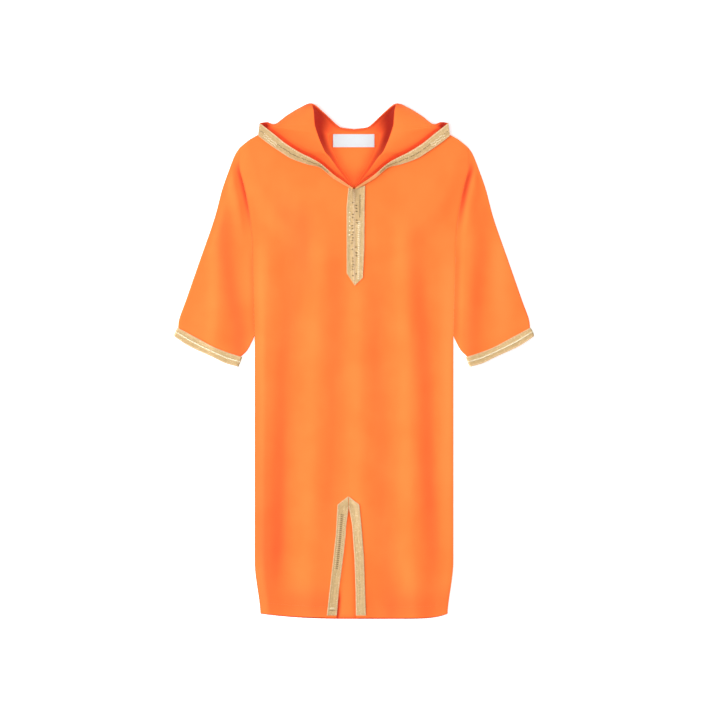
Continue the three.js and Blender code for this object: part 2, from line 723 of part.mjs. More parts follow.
// Points of one hood section, from the neck seam over the crest to the edge.
function hoodSection(r) {
  const inner = INNER_SHARES.map((t) => ({
    x: mix(r.crestX, r.neckX, t),
    y: mix(r.crestY, r.neckY, t),
    top: mix(NECK_Z, r.crestZ, (1 - t) ** INNER_POWER),
  }));
  const outer = OUTER_SHARES.map((t) => ({
    x: mix(r.crestX, r.valleyX, t),
    y: mix(r.crestY, r.valleyY, t),
    top: mix(r.valleyZ, r.crestZ, 1 - t ** OUTER_POWER),
  }));
  return [...inner, ...outer, { x: r.lipX, y: r.lipY, top: r.lipZ }, { x: r.endX, y: r.endY, top: r.endZ }];
}

// Adds the lower face, a wall's thickness below and upright thicker where the cloth is steep.
function withBottoms(line) {
  return line.map((p, j) => {
    const before = line[Math.max(0, j - 1)];
    const after = line[Math.min(line.length - 1, j + 1)];
    const run = Math.max(0.5, Math.hypot(after.x - before.x, after.y - before.y));
    const slope = Math.abs(after.top - before.top) / run;
    const upright = Math.min(STEEPEST, WALL * Math.hypot(1, slope));
    return { ...p, bottom: Math.min(p.top - 1, Math.max(p.top - upright, hoodFloor(p.x, p.y))) };
  });
}

function hood(side) {
  const grid = [...hoodFaceRows, ...hoodFoldRows].map((r) => withBottoms(hoodSection(r)));
  return sheetGeometry(grid.map((line) => line.map((p) => ({ ...p, x: -side * p.x }))));
}

// The braid on the hood's face edge lies on the turned part of each section.
function hoodTrim(side) {
  const grid = hoodFaceRows.map((r) =>
    [0, 1].map((t) => {
      const top = mix(r.lipZ, r.endZ, t) + TRIM_GAP + TRIM;
      return { x: -side * mix(r.lipX, r.endX, t), y: mix(r.lipY, r.endY, t), top, bottom: top - TRIM };
    }),
  );
  return sheetGeometry(grid);
}

function hoodLayers() {
  const half = LAYER_OUTLINE.slice(0, -1);
  const middle = { x: 0, y: LAYER_OUTLINE[LAYER_OUTLINE.length - 1].y };
  const outline = [...half, middle, ...mirrored(half).slice(0, -1)];
  const rings = LAYER_RINGS.map(({ z, inset }) =>
    outline.map((p) => {
      const dx = p.x - LAYER_CENTRE.x;
      const dy = p.y - LAYER_CENTRE.y;
      const shrink = 1 - inset / Math.hypot(dx, dy);
      return new THREE.Vector3(LAYER_CENTRE.x + dx * shrink, LAYER_CENTRE.y + dy * shrink, z);
    }),
  );
  return stackedGeometry(rings);
}

function neckLabel() {
  const bottom = LIFT + WALL + SEAM;
  const lines = [LABEL.top, LABEL.bottom].map((y) =>
    [LABEL.left, LABEL.right].map((x) => ({ x, y, top: bottom + LABEL.thickness, bottom })),
  );
  return sheetGeometry(lines);
}

// A braid strip on the front panel between two edges, from its upper to its lower end.
function frontStrip(lines, across) {
  const grid = lines.map(({ from, to }) =>
    Array.from({ length: across + 1 }, (_, j) => {
      const x = mix(from.x, to.x, j / across);
      const y = mix(from.y, to.y, j / across);
      const bottom = builtFrontTop(x, y) + TRIM_GAP;
      return { x, y, top: bottom + TRIM, bottom };
    }),
  );
  return sheetGeometry(grid);
}

const PLACKET_STEPS = 12;
const SLIT_STEPS = 3; // strips between two rows of the hem slit's table
const SLIT_MEET = { first: -235.3, last: SLIT_APEX_Y - 2 }; // inner corners of the braid over the slit's top

// The placket braid runs down one side of the neck slit, turns at a point and runs up the other.
function placketTrim(side) {
  const p = PLACKET;
  const outerX = side < 0 ? p.left : p.right;
  const topY = side < 0 ? p.leftTopY : p.rightTopY;
  const cornerY = side < 0 ? p.leftCornerY : p.rightCornerY;
  const innerX = side * p.halfGap;
  const lines = [];
  for (let i = 0; i <= PLACKET_STEPS; i += 1) {
    const t = i / PLACKET_STEPS;
    lines.push({
      from: { x: outerX, y: mix(topY, cornerY, t) },
      to: { x: mix(innerX, p.tipX + innerX, t ** 3), y: mix(p.innerTopY, p.tipY, t) },
    });
  }
  return frontStrip(lines, 3);
}

function slitTrim(side) {
  const lines = [];
  const [outer, inner] = side < 0 ? ["outerLeft", "innerLeft"] : ["outerRight", "innerRight"];
  const apexGap = side * SEAM;
  for (let i = 0; i < SLIT_ROWS.length - 1; i += 1) {
    const last = i === SLIT_ROWS.length - 2;
    for (let k = 0; k < SLIT_STEPS + (last ? 1 : 0); k += 1) {
      const t = k / SLIT_STEPS;
      const y = mix(SLIT_ROWS[i].y, SLIT_ROWS[i + 1].y, t);
      const meet = i === 0 ? mix(SLIT_MEET.first, SLIT_MEET.last, t) : Math.min(y, SLIT_MEET.last);
      lines.push({
        from: { x: mix(SLIT_ROWS[i][outer], SLIT_ROWS[i + 1][outer], t) + apexGap, y },
        to: { x: mix(SLIT_ROWS[i][inner], SLIT_ROWS[i + 1][inner], t) + (i === 0 ? apexGap : 0), y: meet },
      });
    }
  }
  return frontStrip(lines, 2);
}

const crepe = () => new THREE.MeshStandardMaterial({ color: 0xfe8c45, roughness: 0.8, metalness: 0 });
const braid = () => new THREE.MeshStandardMaterial({ color: 0xdcbb85, roughness: 0.45, metalness: 0.3 });
const labelCloth = () => new THREE.MeshStandardMaterial({ color: 0xf3f3f1, roughness: 0.7, metalness: 0 });

function piece(name, geometry, material) {
  const mesh = new THREE.Mesh(geometry, material);
  mesh.name = name;
  return mesh;
}

const garment = new THREE.Group();
garment.add(
  piece("back_body", backBody(), crepe()),
  piece("front_body", frontBody(), crepe()),
  piece("hood_layers", hoodLayers(), crepe()),
  piece("neck_label", neckLabel(), labelCloth()),
);
for (const [word, side] of [["left", -1], ["right", 1]]) {
  garment.add(
    piece(`sleeve_${word}`, sleeve(side), crepe()),
    piece(`hood_${word}`, hood(side), crepe()),
    piece(`hood_trim_${word}`, hoodTrim(side), braid()),
    piece(`cuff_trim_${word}`, cuffTrim(side), braid()),
    piece(`placket_trim_${word}`, placketTrim(side), braid()),
    piece(`slit_trim_${word}`, slitTrim(side), braid()),
  );
}

export default garment;
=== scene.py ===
"""A child's hooded djellaba laid flat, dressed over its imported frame.

Sizes below are in millimetres, as in the part's source, and are turned to metres where a mesh is made.
+Z is up from the surface, +Y runs from hem to neck, and the left half is at negative X.
"""
import json
import logging
import math
from dataclasses import dataclass
from enum import Enum
from typing import Callable, Sequence

import bpy
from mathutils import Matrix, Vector, noise

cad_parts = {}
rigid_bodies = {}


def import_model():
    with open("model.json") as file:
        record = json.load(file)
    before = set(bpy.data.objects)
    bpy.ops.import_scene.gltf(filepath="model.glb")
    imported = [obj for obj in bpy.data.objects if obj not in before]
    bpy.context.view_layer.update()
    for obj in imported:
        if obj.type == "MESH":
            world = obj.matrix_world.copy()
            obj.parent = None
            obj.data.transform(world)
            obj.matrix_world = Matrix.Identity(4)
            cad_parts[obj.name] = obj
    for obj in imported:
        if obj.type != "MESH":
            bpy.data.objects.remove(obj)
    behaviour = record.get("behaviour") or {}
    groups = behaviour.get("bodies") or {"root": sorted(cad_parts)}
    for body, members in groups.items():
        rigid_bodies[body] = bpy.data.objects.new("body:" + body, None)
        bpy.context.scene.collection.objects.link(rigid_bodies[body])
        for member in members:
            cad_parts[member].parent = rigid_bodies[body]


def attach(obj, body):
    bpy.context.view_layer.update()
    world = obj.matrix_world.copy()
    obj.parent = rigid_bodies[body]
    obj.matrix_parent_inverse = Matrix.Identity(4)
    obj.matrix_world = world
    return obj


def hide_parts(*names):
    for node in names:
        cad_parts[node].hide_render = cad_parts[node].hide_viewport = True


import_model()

log = logging.getLogger("djellaba")
MM = 0.001

# Cloth and lay
WALL = 1.2  # a cloth wall of the solids
SEAM = 0.3  # gap between the solids at a seam
SEAM_SHUT = 0.05  # gap between sewn cloths, too narrow to see the floor through
TRIM = 1.0  # the solids' braid
TRIM_GAP = 0.5  # from the hood's face edge to its braid
LAYERS = 2.4  # the hidden layers of the hood
LIFT = LAYERS + SEAM
STACK = 2 * WALL + SEAM
CLOTH = 0.7  # thickness of the dressed cloth
BRAID = 0.8  # thickness of the dressed braid
FINE = 3.4  # spacing of the front panel's mesh
MERGE = 2e-5  # points nearer than this, in metres, become one
CORD_WIDTH = 0.06  # of the cord along each edge of a braid, as a share of the braid's width
THREAD_SIDES = 6
THREAD_RINGS = 4

# Cut
BODY_HALF = 163.8
HEM_HALF = 154.0
HEM_SIDE_Y = -417.0
HEM_MID_Y = -425.5
HEM_CURVE_LEFT = 2.5
HEM_CURVE_RIGHT = 8.0
TAPER_Y = -330.0  # below it the body narrows towards the hem
TAPER_LONG = 95.0
UNDERARM_Y = 41.3
NECK_V_Y = 286.0
BACK_NECK_Y = 378.0
LAYER_CENTRE_Y = 384.0
LAYER_HALF_X = 174.0
LAYER_HALF_Y = 198.0
LAYER_RAMP = 0.18

Point = tuple[float, float, float]
Flat = tuple[float, float]
Colour = tuple[float, float, float, float]
Depth = Callable[[float, float], float]

# Outline of the left half, as x, y
ARMHOLE: list[Flat] = [
    (-188.5, 352), (-190.5, 332), (-189, 316), (-183, 295), (-178, 274),
    (-173.5, 249), (-170.5, 224), (-168, 191), (-165.8, 117), (-BODY_HALF, UNDERARM_Y),
]
SHOULDER: list[Flat] = [
    (-188.5, 352), (-181, 358.5), (-172, 365.5), (-158, 373.5), (-130, 380),
    (-100, 383), (-62, 385), (-40, BACK_NECK_Y), (0, BACK_NECK_Y),
]
SLEEVE_TOP_EDGE: list[Flat] = [
    (-188.5, 352), (-196.4, 340), (-206.3, 315), (-217.8, 282), (-231, 233),
    (-254, 167), (-277, 101), (-289.4, 65), (-289, 37.5),
]
SLEEVE_UNDER_EDGE: list[Flat] = [(-BODY_HALF, UNDERARM_Y), (-175.5, 18.5), (-188.3, 5.5), (-197, -6.5)]
CUFF_EDGE: list[Flat] = [(-289, 37.5), (-266, 22.5), (-234, 8), (-213, -1.5), (-197, -6.5)]
CUFF_TRIM_UPPER: list[Flat] = [(-291.8, 55.5), (-262, 39.5), (-230, 22.5), (-204, 12.5), (-184.3, 6.4)]
CUFF_TRIM_LOWER: list[Flat] = [(-298, 41.5), (-271.5, 24), (-234, 6.8), (-213, -3.4), (-190.5, -9.8)]
CUFF_CORNER: Flat = (-297.0, 40.4)
CUFF_NORMAL: Flat = (0.439, 0.899)
CUFF_BAND = 20.0
CUFF_RAMP = 25.0

# Hood sections: neck seam, crest, valley, turned lip and end of the left half, each as x, y, z
HOOD_FACE: list[list[Point]] = [
    [(-1.2, 287.5, 5.6), (-2.0, 286.5, 8.6), (-2.1, 285.9, 8.5), (-2.2, 285.4, 8.7), (-2.4, 283.4, 7.3)],
    [(-10.5, 303.5, 5.6), (-13.2, 300.5, 14), (-15, 297.6, 10.4), (-15.6, 294.6, 12.6), (-16.4, 290.5, 7.3)],
    [(-20, 318, 5.6), (-24, 313.4, 20), (-31.5, 309.8, 9.6), (-33, 306.8, 13.6), (-35.5, 302, 7.3)],
    [(-26.5, 330, 5.6), (-33, 326, 25), (-52, 328.6, 8.6), (-54.5, 325.2, 13.8), (-56.1, 318.6, 7.3)],
    [(-32, 341.5, 5.6), (-40.5, 336.5, 28.5), (-67, 338.4, 7.8), (-71, 335, 13.2), (-78, 324.5, 7.3)],
    [(-37, 352, 5.6), (-47.5, 344.2, 31.5), (-85, 346.8, 7.5), (-90, 344.5, 13), (-104, 334, 7.3)],
    [(-40, 361, 5.6), (-52.5, 354.5, 34), (-107, 360.8, 7.5), (-113, 359, 13), (-124, 346.5, 7.3)],
    [(-41.5, 368, 5.6), (-57, 365, 36), (-128, 377.4, 7.6), (-135, 376.6, 13), (-143, 359.5, 7.3)],
    [(-41.5, 371.5, 5.6), (-60.5, 375, 37), (-148, 390, 8.5), (-155.6, 392.6, 12.5), (-158.4, 371.8, 7.3)],
]
HOOD_FOLD: list[list[Point]] = [
    [(-41.5, 371.5, 5.6), (-60.5, 375, 37), (-148, 390, 8.5), (-155.6, 392.6, 12.5)],
    [(-40.5, 373.5, 5.6), (-63.5, 384, 37), (-140, 388.6, 7.6), (-143.5, 394.2, 4.4)],
    [(-38, 374.8, 5.6), (-65.5, 391, 36.5), (-126, 388.5, 13.5), (-130.3, 391.2, 4.1)],
    [(-34.5, 375.4, 5.6), (-66.6, 402, 34), (-108.5, 399.5, 15.5), (-112.2, 404.3, 4.1)],
    [(-30, 375.7, 5.6), (-67.8, 414.5, 28), (-87.5, 412.5, 16.5), (-90.8, 417.4, 4.1)],
    [(-25, 375.9, 5.6), (-69.2, 424.2, 19), (-69.8, 424.9, 14), (-69.9, 425.2, 4.1)],
    [(-19, 376, 5.6), (-52.6, 410.9, 14.5), (-52.0, 411.8, 11), (-51.4, 411.6, 4.1)],
    [(-13, 376, 5.6), (-36.8, 396.2, 10.5), (-36.3, 397, 8.5), (-35.8, 396.8, 4.1)],
    [(-7, 376, 5.6), (-24.4, 385.4, 7.8), (-24.1, 386.2, 6.8), (-23.9, 386, 4.1)],
    [(-0.15, 376, 5.6), (-0.15, 381.9, 7), (-0.15, 382.8, 6.3), (-0.15, 382.6, 4.1)],
]
LAYER_OUTLINE: list[Flat] = [
    (0, 381.5), (-23, 384.5), (-36, 395.5), (-52, 410.5), (-69.5, 423), (-90, 415),
    (-111, 402), (-129, 389.5), (-143, 391.5), (-154, 390), (-155, 372), (-150, 340),
    (-134, 300), (-108, 262), (-74, 232), (-36, 213), (0, 208),
]
# Hem slit: y, then outer and inner edge of the left braid, inner and outer edge of the right one
SLIT_ROWS: list[tuple[float, float, float, float, float]] = [
    (-223.3, -9.4, -9.4, -9.2, -9.2),
    (-237, -27.4, -12.2, -5.4, 8.7),
    (-285, -30, -13.4, -2.3, 13.5),
    (-327, -34.6, -18.2, 0.8, 16.6),
    (-378, -40.3, -24.8, 2.5, 18.2),
    (-420, -45, -28.4, 3.1, 19.8),
]
SLIT_APEX: Flat = (-8.6, -241.0)
SLIT_EDGE_INSET = 0.6
SLIT_OPEN_Y = -285.0  # from here down the slit's edges are straight
# Outer edges of the placket braid: share down it, x
PLACKET_OUTER: dict[str, list[Flat]] = {
    "left": [(0, -9.2), (0.22, -12.2), (1, -12.1)],
    "right": [(0, 18.4), (0.3, 17.5), (0.7, 17.0), (1, 14.6)],
}


class Side(Enum):
    """The garment's halves, as seen from above its front."""

    LEFT = -1
    RIGHT = 1

    @property
    def word(self) -> str:
        """The half's name in piece names."""
        return self.name.lower()


def clamp01(t: float) -> float:
    """t held between 0 and 1."""
    return min(1.0, max(0.0, t))


def mix(a: float, b: float, t: float) -> float:
    """The value at share t from a to b."""
    return a + (b - a) * t


def smooth(t: float) -> float:
    """A soft step from 0 to 1."""
    s = clamp01(t)
    return s * s * (3 - 2 * s)


def bell(d: float, width: float) -> float:
    """A soft bump of height 1 that dies away over width."""
    return math.exp(-((d / width) ** 2))


def edge_cords(w: float, height: float, inset: float) -> float:
    """Relief of the cords along both edges of a braid, at a share across it."""
    return height * (bell(w - inset, CORD_WIDTH) + bell(w - (1 - inset), CORD_WIDTH))


def read_table(rows: Sequence[Sequence[float]], key: int, column: int, at: float) -> float:
    """Read a table that is ordered by one of its columns, straight between rows.

    Args:
        rows: the table.
        key: number of the ordering column.
        column: number of the column to read.
        at: value in the ordering column.

    Returns:
        The value in the column that is read.
    """
    ordered = rows if rows[-1][key] > rows[0][key] else rows[::-1]
    if at <= ordered[0][key]:
        return ordered[0][column]
    for low, high in zip(ordered, ordered[1:]):
        if at <= high[key]:
            return mix(low[column], high[column], (at - low[key]) / (high[key] - low[key]))
    return ordered[-1][column]


def spline(points: Sequence[Sequence[float]], t: float) -> list[float]:
    """A point on a smooth curve through points of any number of coordinates.

    Args:
        points: the points, at even steps of t.
        t: from 0 at the first point to 1 at the last.

    Returns:
        The point's coordinates.
    """
    at = clamp01(t) * (len(points) - 1)
    i = min(int(at), len(points) - 2)
    f = at - i
    p, a, b, q = (points[min(len(points) - 1, max(0, n))] for n in (i - 1, i, i + 1, i + 2))
    return [
        0.5 * (2 * y + (z - x) * f + (2 * x - 5 * y + 4 * z - w) * f * f + (3 * y - x - 3 * z + w) * f**3)
        for x, y, z, w in zip(p, a, b, q)
    ]


def even_curve(points: Sequence[Flat]) -> Callable[[float], Flat]:
    """A smooth curve through points, read at even lengths along it.

    Args:
        points: the points it passes.

    Returns:
        A function from a share of the length to a point.
    """
    steps = 200
    line = [spline(points, k / steps) for k in range(steps + 1)]
    run = [0.0]
    for a, b in zip(line, line[1:]):
        run.append(run[-1] + math.dist(a, b))
    table = [(r / run[-1], p[0], p[1]) for r, p in zip(run, line)]
    return lambda t: (read_table(table, 0, 1, t), read_table(table, 0, 2, t))


def grain(x: float, y: float, scale_x: float, scale_y: float, seed: float) -> float:
    """A slow, even random wave over the cloth, from about -1 to 1."""
    return noise.noise(Vector((x / scale_x, y / scale_y, seed)))


@dataclass(frozen=True)
class Fold:
    """A long soft ridge in the cloth, from its upper to its lower end."""

    top: Flat
    bottom: Flat
    height: float
    left: float
    right: float
    fade: float = 60.0

    def rise(self, x: float, y: float) -> float:
        """How far the ridge lifts the cloth at a place.

        Args:
            x: place across.
            y: place along.

        Returns:
            The rise in millimetres.
        """
        share = (self.top[1] - y) / (self.top[1] - self.bottom[1])
        sway = 3.5 * grain(self.top[0], y, 9.0, 130.0, 3.1)
        off = x - mix(self.top[0], self.bottom[0], share) - sway
        width = self.left if off < 0 else self.right
        ends = smooth((self.top[1] - y) / self.fade + 0.5) * smooth((y - self.bottom[1]) / self.fade + 1)
        return self.height * bell(off, width) * ends


# Long ridges in each cloth: upper end, lower end, height, and width to the left and right
FRONT_FOLDS = (
    Fold((-139, 195), (-150, -400), 4.3, 17, 26),
    Fold((-50, 190), (-72, -415), 2.9, 20, 26),
    Fold((12, 120), (14, -415), 3.0, 17, 22),
    Fold((88, 225), (104, -415), 4.2, 19, 24),
)
SLEEVE_FOLDS = (
    Fold((-216, 250), (-228, 40), 3.0, 15, 20),
    Fold((197, 250), (190, 30), 3.8, 17, 18),
)
BACK_FOLDS = (
    Fold((-96, 150), (-110, -380), 0.7, 22, 26),
    Fold((28, 120), (18, -380), 0.6, 24, 22),
    Fold((118, 160), (126, -380), 0.7, 20, 26),
)
# Troughs between the folds, each as rows of y, x and depth: 0 to 1 in shade, below 0 on a lit flank. The
# depth paints shade into the crepe's colour above 0 and painted light below 0; on the front it also sinks the
# cloth a little.
FRONT_TROUGHS: tuple[list[Point], ...] = (
    [
        (285, -116, 0), (245, -112, 0.22), (200, -104, 0.16), (150, -100, 0.1), (101, -102, 0.2),
        (18, -115, 0.28), (-64, -119, 0.34), (-147, -122, 0.52), (-229, -124, 0.64),
        (-312, -127, 0.76), (-350, -127, 0.45), (-385, -126, 0.1), (-420, -124, 0.05),
    ],
    [(270, -86, 0), (235, -84, 0.26), (183, -82, 0.32), (142, -78, 0.18), (100, -74, 0)],
    [
        (200, -154, 0), (18, -154, 0.14), (-147, -154, 0.32),
        (-312, -152, 0.6), (-360, -150, 0.35), (-394, -148, 0.1),
    ],
    [
        (225, 158, 0), (150, 157, -0.45), (18, 157, -0.7),
        (-147, 154, -0.5), (-312, 152, -0.2), (-400, 152, 0),
    ],
    [
        (215, -42, 0), (142, -28, 0.2), (18, -30, 0.2),
        (-147, -37, 0.1), (-229, -42, 0.15), (-330, -48, 0),
    ],
    [(200, 36, 0), (101, 37, 0.12), (18, 34, 0.22), (-147, 48, 0.18), (-312, 52, 0.2), (-420, 60, 0.3)],
    [
        (190, 100, 0), (101, 109, 0.34), (18, 115, 0.46), (-64, 119, 0.42), (-147, 122, 0.52),
        (-229, 127, 0.62), (-312, 132, 0.45), (-360, 130, 0.2), (-390, 128, 0.1), (-420, 120, 0.14),
    ],
)
SLEEVE_TROUGHS: tuple[list[Point], ...] = (
    [
        (262, -214, 0), (224, -215, 0.42), (183, -213, 0.5),
        (142, -205, 0.48), (101, -199, 0.55), (50, -190, 0.6),
    ],
    [(262, 220, 0), (224, 219, 0.08), (183, 215, 0.2), (142, 206, 0.24), (101, 200, 0.3), (50, 190, 0.3)],
    [(224, 226, 0), (183, 238, -0.5), (142, 238, -0.6), (101, 241, -0.5), (50, 246, -0.3), (20, 246, 0)],
)


@dataclass(frozen=True)
class Lay:
    """How the garment lies: the height of each cloth over the surface."""

    trough_width: float = 15.0
    trough_drop: float = 0.7
    fold_edge: float = 16.0
    neck_slope: float = 0.545
    neck_clear: float = 8.0
    neck_ramp: float = 45.0
    roll_width: float = 3.2
    roll_armhole: float = 0.12
    roll_side: float = 0.55
    puff: float = 2.6

    def trough(self, lines: Sequence[Sequence[Point]], x: float, y: float) -> float:
        """How far down in a trough a place is, from 0 to 1, or how far up a lit flank, below 0; it also sets
        painted shade and painted light on the crepe.

        Args:
            lines: the troughs.
            x: place across.
            y: place along.

        Returns:
            The depth.
        """
        depth = 0.0
        for line in lines:
            wander = 2.5 * grain(line[0][1], y, 7.0, 60.0, 9.4)
            off = x - read_table(line, 0, 1, y) - wander
            depth += read_table(line, 0, 2, y) * bell(off, self.trough_width)
        return depth

    def layer_lift(self, x: float, y: float) -> float:
        """How far the hidden hood layers raise the cloth above them."""
        reach = math.hypot(x / LAYER_HALF_X, (y - LAYER_CENTRE_Y) / LAYER_HALF_Y)
        return LIFT * (1 - smooth((reach - 1) / LAYER_RAMP))

    def body_half(self, y: float) -> float:
        """Half width of the body panels.

        Args:
            y: place along.

        Returns:
            The half width.
        """
        if y > UNDERARM_Y:
            return -read_table(ARMHOLE, 1, 0, y)
        return mix(BODY_HALF, HEM_HALF, smooth((TAPER_Y - y) / TAPER_LONG))

    def hem_y(self, x: float) -> float:
        """Lower edge of the back panel."""
        power = HEM_CURVE_LEFT if x < 0 else HEM_CURVE_RIGHT
        return mix(HEM_MID_Y, HEM_SIDE_Y, abs(x / HEM_HALF) ** power)

    def shoulder_y(self, x: float) -> float:
        """Upper edge of the body panels."""
        return read_table(SHOULDER, 0, 1, -abs(x))

    def edge_roll(self, x: float, y: float) -> float:
        """How far a panel's edge rolls towards the other panel at the side seams.

        Args:
            x: place across.
            y: place along.

        Returns:
            The roll.
        """
        near = clamp01((self.body_half(y) - abs(x)) / self.roll_width)
        depth = self.roll_armhole if y > UNDERARM_Y else self.roll_side
        return depth * (1 - math.sqrt(1 - (1 - near) ** 2))

    def front_top(self, x: float, y: float) -> float:
        """Upper face of the front panel, calm under its braids.

        Args:
            x: place across.
            y: place along.

        Returns:
            Its height.
        """
        below_hood = smooth((NECK_V_Y + self.neck_slope * abs(x) - y - self.neck_clear) / self.neck_ramp)
        side = smooth((self.body_half(y) - abs(x)) / self.fold_edge)
        folds = sum(f.rise(x, y) for f in FRONT_FOLDS)
        folds -= self.trough_drop * max(0.0, self.trough(FRONT_TROUGHS, x, y))
        ripple = 0.35 * grain(x, y, 34, 120, 1.7) + 0.16 * grain(x, y, 13, 40, 8.2)
        off_placket = smooth((abs(x - 2.6) - 14) / 14) if y > 110 else 1.0
        off_slit = smooth((abs(x + 9) - 36) / 16) if y < -205 else 1.0
        relief = (folds * below_hood + ripple * min(off_placket, off_slit) * below_hood) * side
        return self.layer_lift(x, y) + STACK + relief - self.edge_roll(x, y)

    def cuff_distance(self, x: float, y: float) -> float:
        """Distance up the sleeve from the cuff line."""
        return (-abs(x) - CUFF_CORNER[0]) * CUFF_NORMAL[0] + (y - CUFF_CORNER[1]) * CUFF_NORMAL[1]

    def sleeve_base(self, x: float, y: float) -> float:
        """Lower face of a sleeve."""
        over_braid = 1 - smooth((self.cuff_distance(x, y) - CUFF_BAND) / CUFF_RAMP)
        return self.layer_lift(x, y) + (TRIM + SEAM) * over_braid

    def from_seam(self, x: float, y: float) -> float:
        """Distance across from the armhole seam."""
        return abs(x) - self.body_half(max(y, UNDERARM_Y))

    def sleeve_top(self, x: float, y: float) -> float:
        """Upper face of a sleeve, with its folds.

        Args:
            x: place across.
            y: place along.

        Returns:
            Its height.
        """
        off = self.from_seam(x, y)
        clear_of_seam = smooth(off / self.fold_edge)
        clear_of_edge = smooth((read_table(SLEEVE_TOP_EDGE, 1, 0, y) + abs(x)) / -self.fold_edge)
        folds = sum(f.rise(x, y) for f in SLEEVE_FOLDS)
        puff = self.puff * bell(off - 17, 11) * smooth((y - 195) / 60) * smooth((342 - y) / 40)
        ripple = 0.3 * grain(x, y, 30, 90, 5.5)
        return self.sleeve_base(x, y) + STACK + (folds + puff + ripple) * clear_of_seam * clear_of_edge


# Building blocks


def deselect() -> None:
    """Leave nothing selected."""
    bpy.ops.object.select_all(action="DESELECT")


def take(obj: bpy.types.Object) -> None:
    """Select one object alone and make it active.

    Args:
        obj: the object.
    """
    deselect()
    obj.select_set(True)
    bpy.context.view_layer.objects.active = obj


def open_mesh(obj: bpy.types.Object) -> None:
    """Enter edit mode on one object, with all of its mesh selected.

    Args:
        obj: the object.
    """
    take(obj)
    bpy.ops.object.mode_set(mode="EDIT")
    bpy.ops.mesh.select_all(action="SELECT")


def close_mesh() -> None:
    """Leave edit mode."""
    bpy.ops.object.mode_set(mode="OBJECT")


def lay_grid(
    name: str,
    columns: int,
    rows: int,
    place: Callable[[float, float], Sequence[float]],
    crease: Depth | None = None,
    length: float = 100.0,
) -> bpy.types.Object:
    """Add a grid and move each of its points to its place on the garment.

    Args:
        name: the piece's name.
        columns: faces across.
        rows: faces along.
        place: from shares across and down the grid to x, y, z in millimetres.
        crease: from the same shares to the painted shade on the cloth, from 0 to 1, or painted light, below
            0.
        length: real length along the grid, for the UV map, which is share across and centimetres along.

    Returns:
        The sheet, without thickness.
    """
    deselect()
    bpy.ops.mesh.primitive_grid_add(x_subdivisions=columns, y_subdivisions=rows, size=1, location=(0, 0, 0))
    obj = bpy.context.object
    obj.name = obj.data.name = name
    mesh = obj.data
    shares = [(clamp01(v.co.x + 0.5), clamp01(0.5 - v.co.y)) for v in mesh.vertices]
    flat: list[float] = []
    for u, v in shares:
        flat.extend(c * MM for c in place(u, v)[:3])
    mesh.vertices.foreach_set("co", flat)
    # painted shade above 0 and painted light below 0, kept on each point for the finishes
    depth = mesh.attributes.new("crease", "FLOAT", "POINT")
    depth.data.foreach_set("value", [crease(u, v) if crease else 0.0 for u, v in shares])
    uv: list[float] = []
    for loop in mesh.loops:
        u, v = shares[loop.vertex_index]
        uv.extend((u, v * length / 10))
    mesh.uv_layers.active.data.foreach_set("uv", uv)
    mesh.update()
    return obj


def weld(obj: bpy.types.Object, closed: bool = False, fill: bool = False) -> None:
    """Merge points that coincide, and turn faces outwards.

    Args:
        obj: the sheet.
        closed: whether it is a tube, whose outside is found by its form; a flat sheet's outside is up.
        fill: whether its open ends are closed.
    """
    open_mesh(obj)
    bpy.ops.mesh.remove_doubles(threshold=MERGE)
    if fill:
        bpy.ops.mesh.fill_holes(sides=0)
        bpy.ops.mesh.select_all(action="SELECT")
    if closed:
        bpy.ops.mesh.normals_make_consistent(inside=False)
    close_mesh()
    if not closed and sum(p.normal.z * p.area for p in obj.data.polygons) < 0:
        open_mesh(obj)
        bpy.ops.mesh.flip_normals()
        close_mesh()


def soften(obj: bpy.types.Object, repeat: int) -> None:
    """Relax every point that isn't on an open edge.

    Args:
        obj: the sheet.
        repeat: number of passes.
    """
    open_mesh(obj)
    bpy.context.tool_settings.mesh_select_mode = (True, False, False)
    bpy.ops.mesh.select_all(action="DESELECT")
    bpy.ops.mesh.select_non_manifold(extend=False, use_wire=False, use_boundary=True)
    bpy.ops.mesh.select_all(action="INVERT")
    bpy.ops.mesh.vertices_smooth(factor=0.5, repeat=repeat)
    close_mesh()


def join(objs: Sequence[bpy.types.Object], name: str) -> bpy.types.Object:
    """Join objects into the first one.

    Args:
        objs: the objects.
        name: the joined piece's name.

    Returns:
        The joined object.
    """
    deselect()
    for obj in objs:
        obj.select_set(True)
    bpy.context.view_layer.objects.active = objs[0]
    bpy.ops.object.join()
    objs[0].name = objs[0].data.name = name
    return objs[0]


def shade_smooth(obj: bpy.types.Object, angle: float) -> None:
    """Shade an object smooth, except at edges sharper than an angle in degrees."""
    take(obj)
    bpy.ops.object.shade_smooth_by_angle(angle=math.radians(angle))


def finish_sheet(obj: bpy.types.Object, thickness: float, angle: float = 55.0) -> None:
    """Give a sheet its thickness, below its outside, and shade it.

    Args:
        obj: the sheet.
        thickness: in millimetres.
        angle: edges sharper than this stay crisp.
    """
    take(obj)
    wall = obj.modifiers.new("solidify", "SOLIDIFY")
    wall.thickness = thickness * MM
    wall.offset = -1.0
    bpy.ops.object.modifier_apply(modifier=wall.name)
    shade_smooth(obj, angle)


def dress(obj: bpy.types.Object, material: bpy.types.Material, slot: str, *nodes: str) -> None:
    """Give a piece its finish, its body and the nodes it stands for.

    Args:
        obj: the piece.
        material: its finish.
        slot: not used.
        nodes: CAD nodes that it replaces.
    """
    obj.data.materials.clear()
    obj.data.materials.append(material)
    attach(obj, "root")
    if nodes:
        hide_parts(*nodes)
    log.info("%s: %d faces", obj.name, len(obj.data.polygons))


@dataclass(frozen=True)
class Thread:
    """One short length of sewing or gold thread: from, to, and its radius in millimetres."""

    start: Point
    end: Point
    radius: float


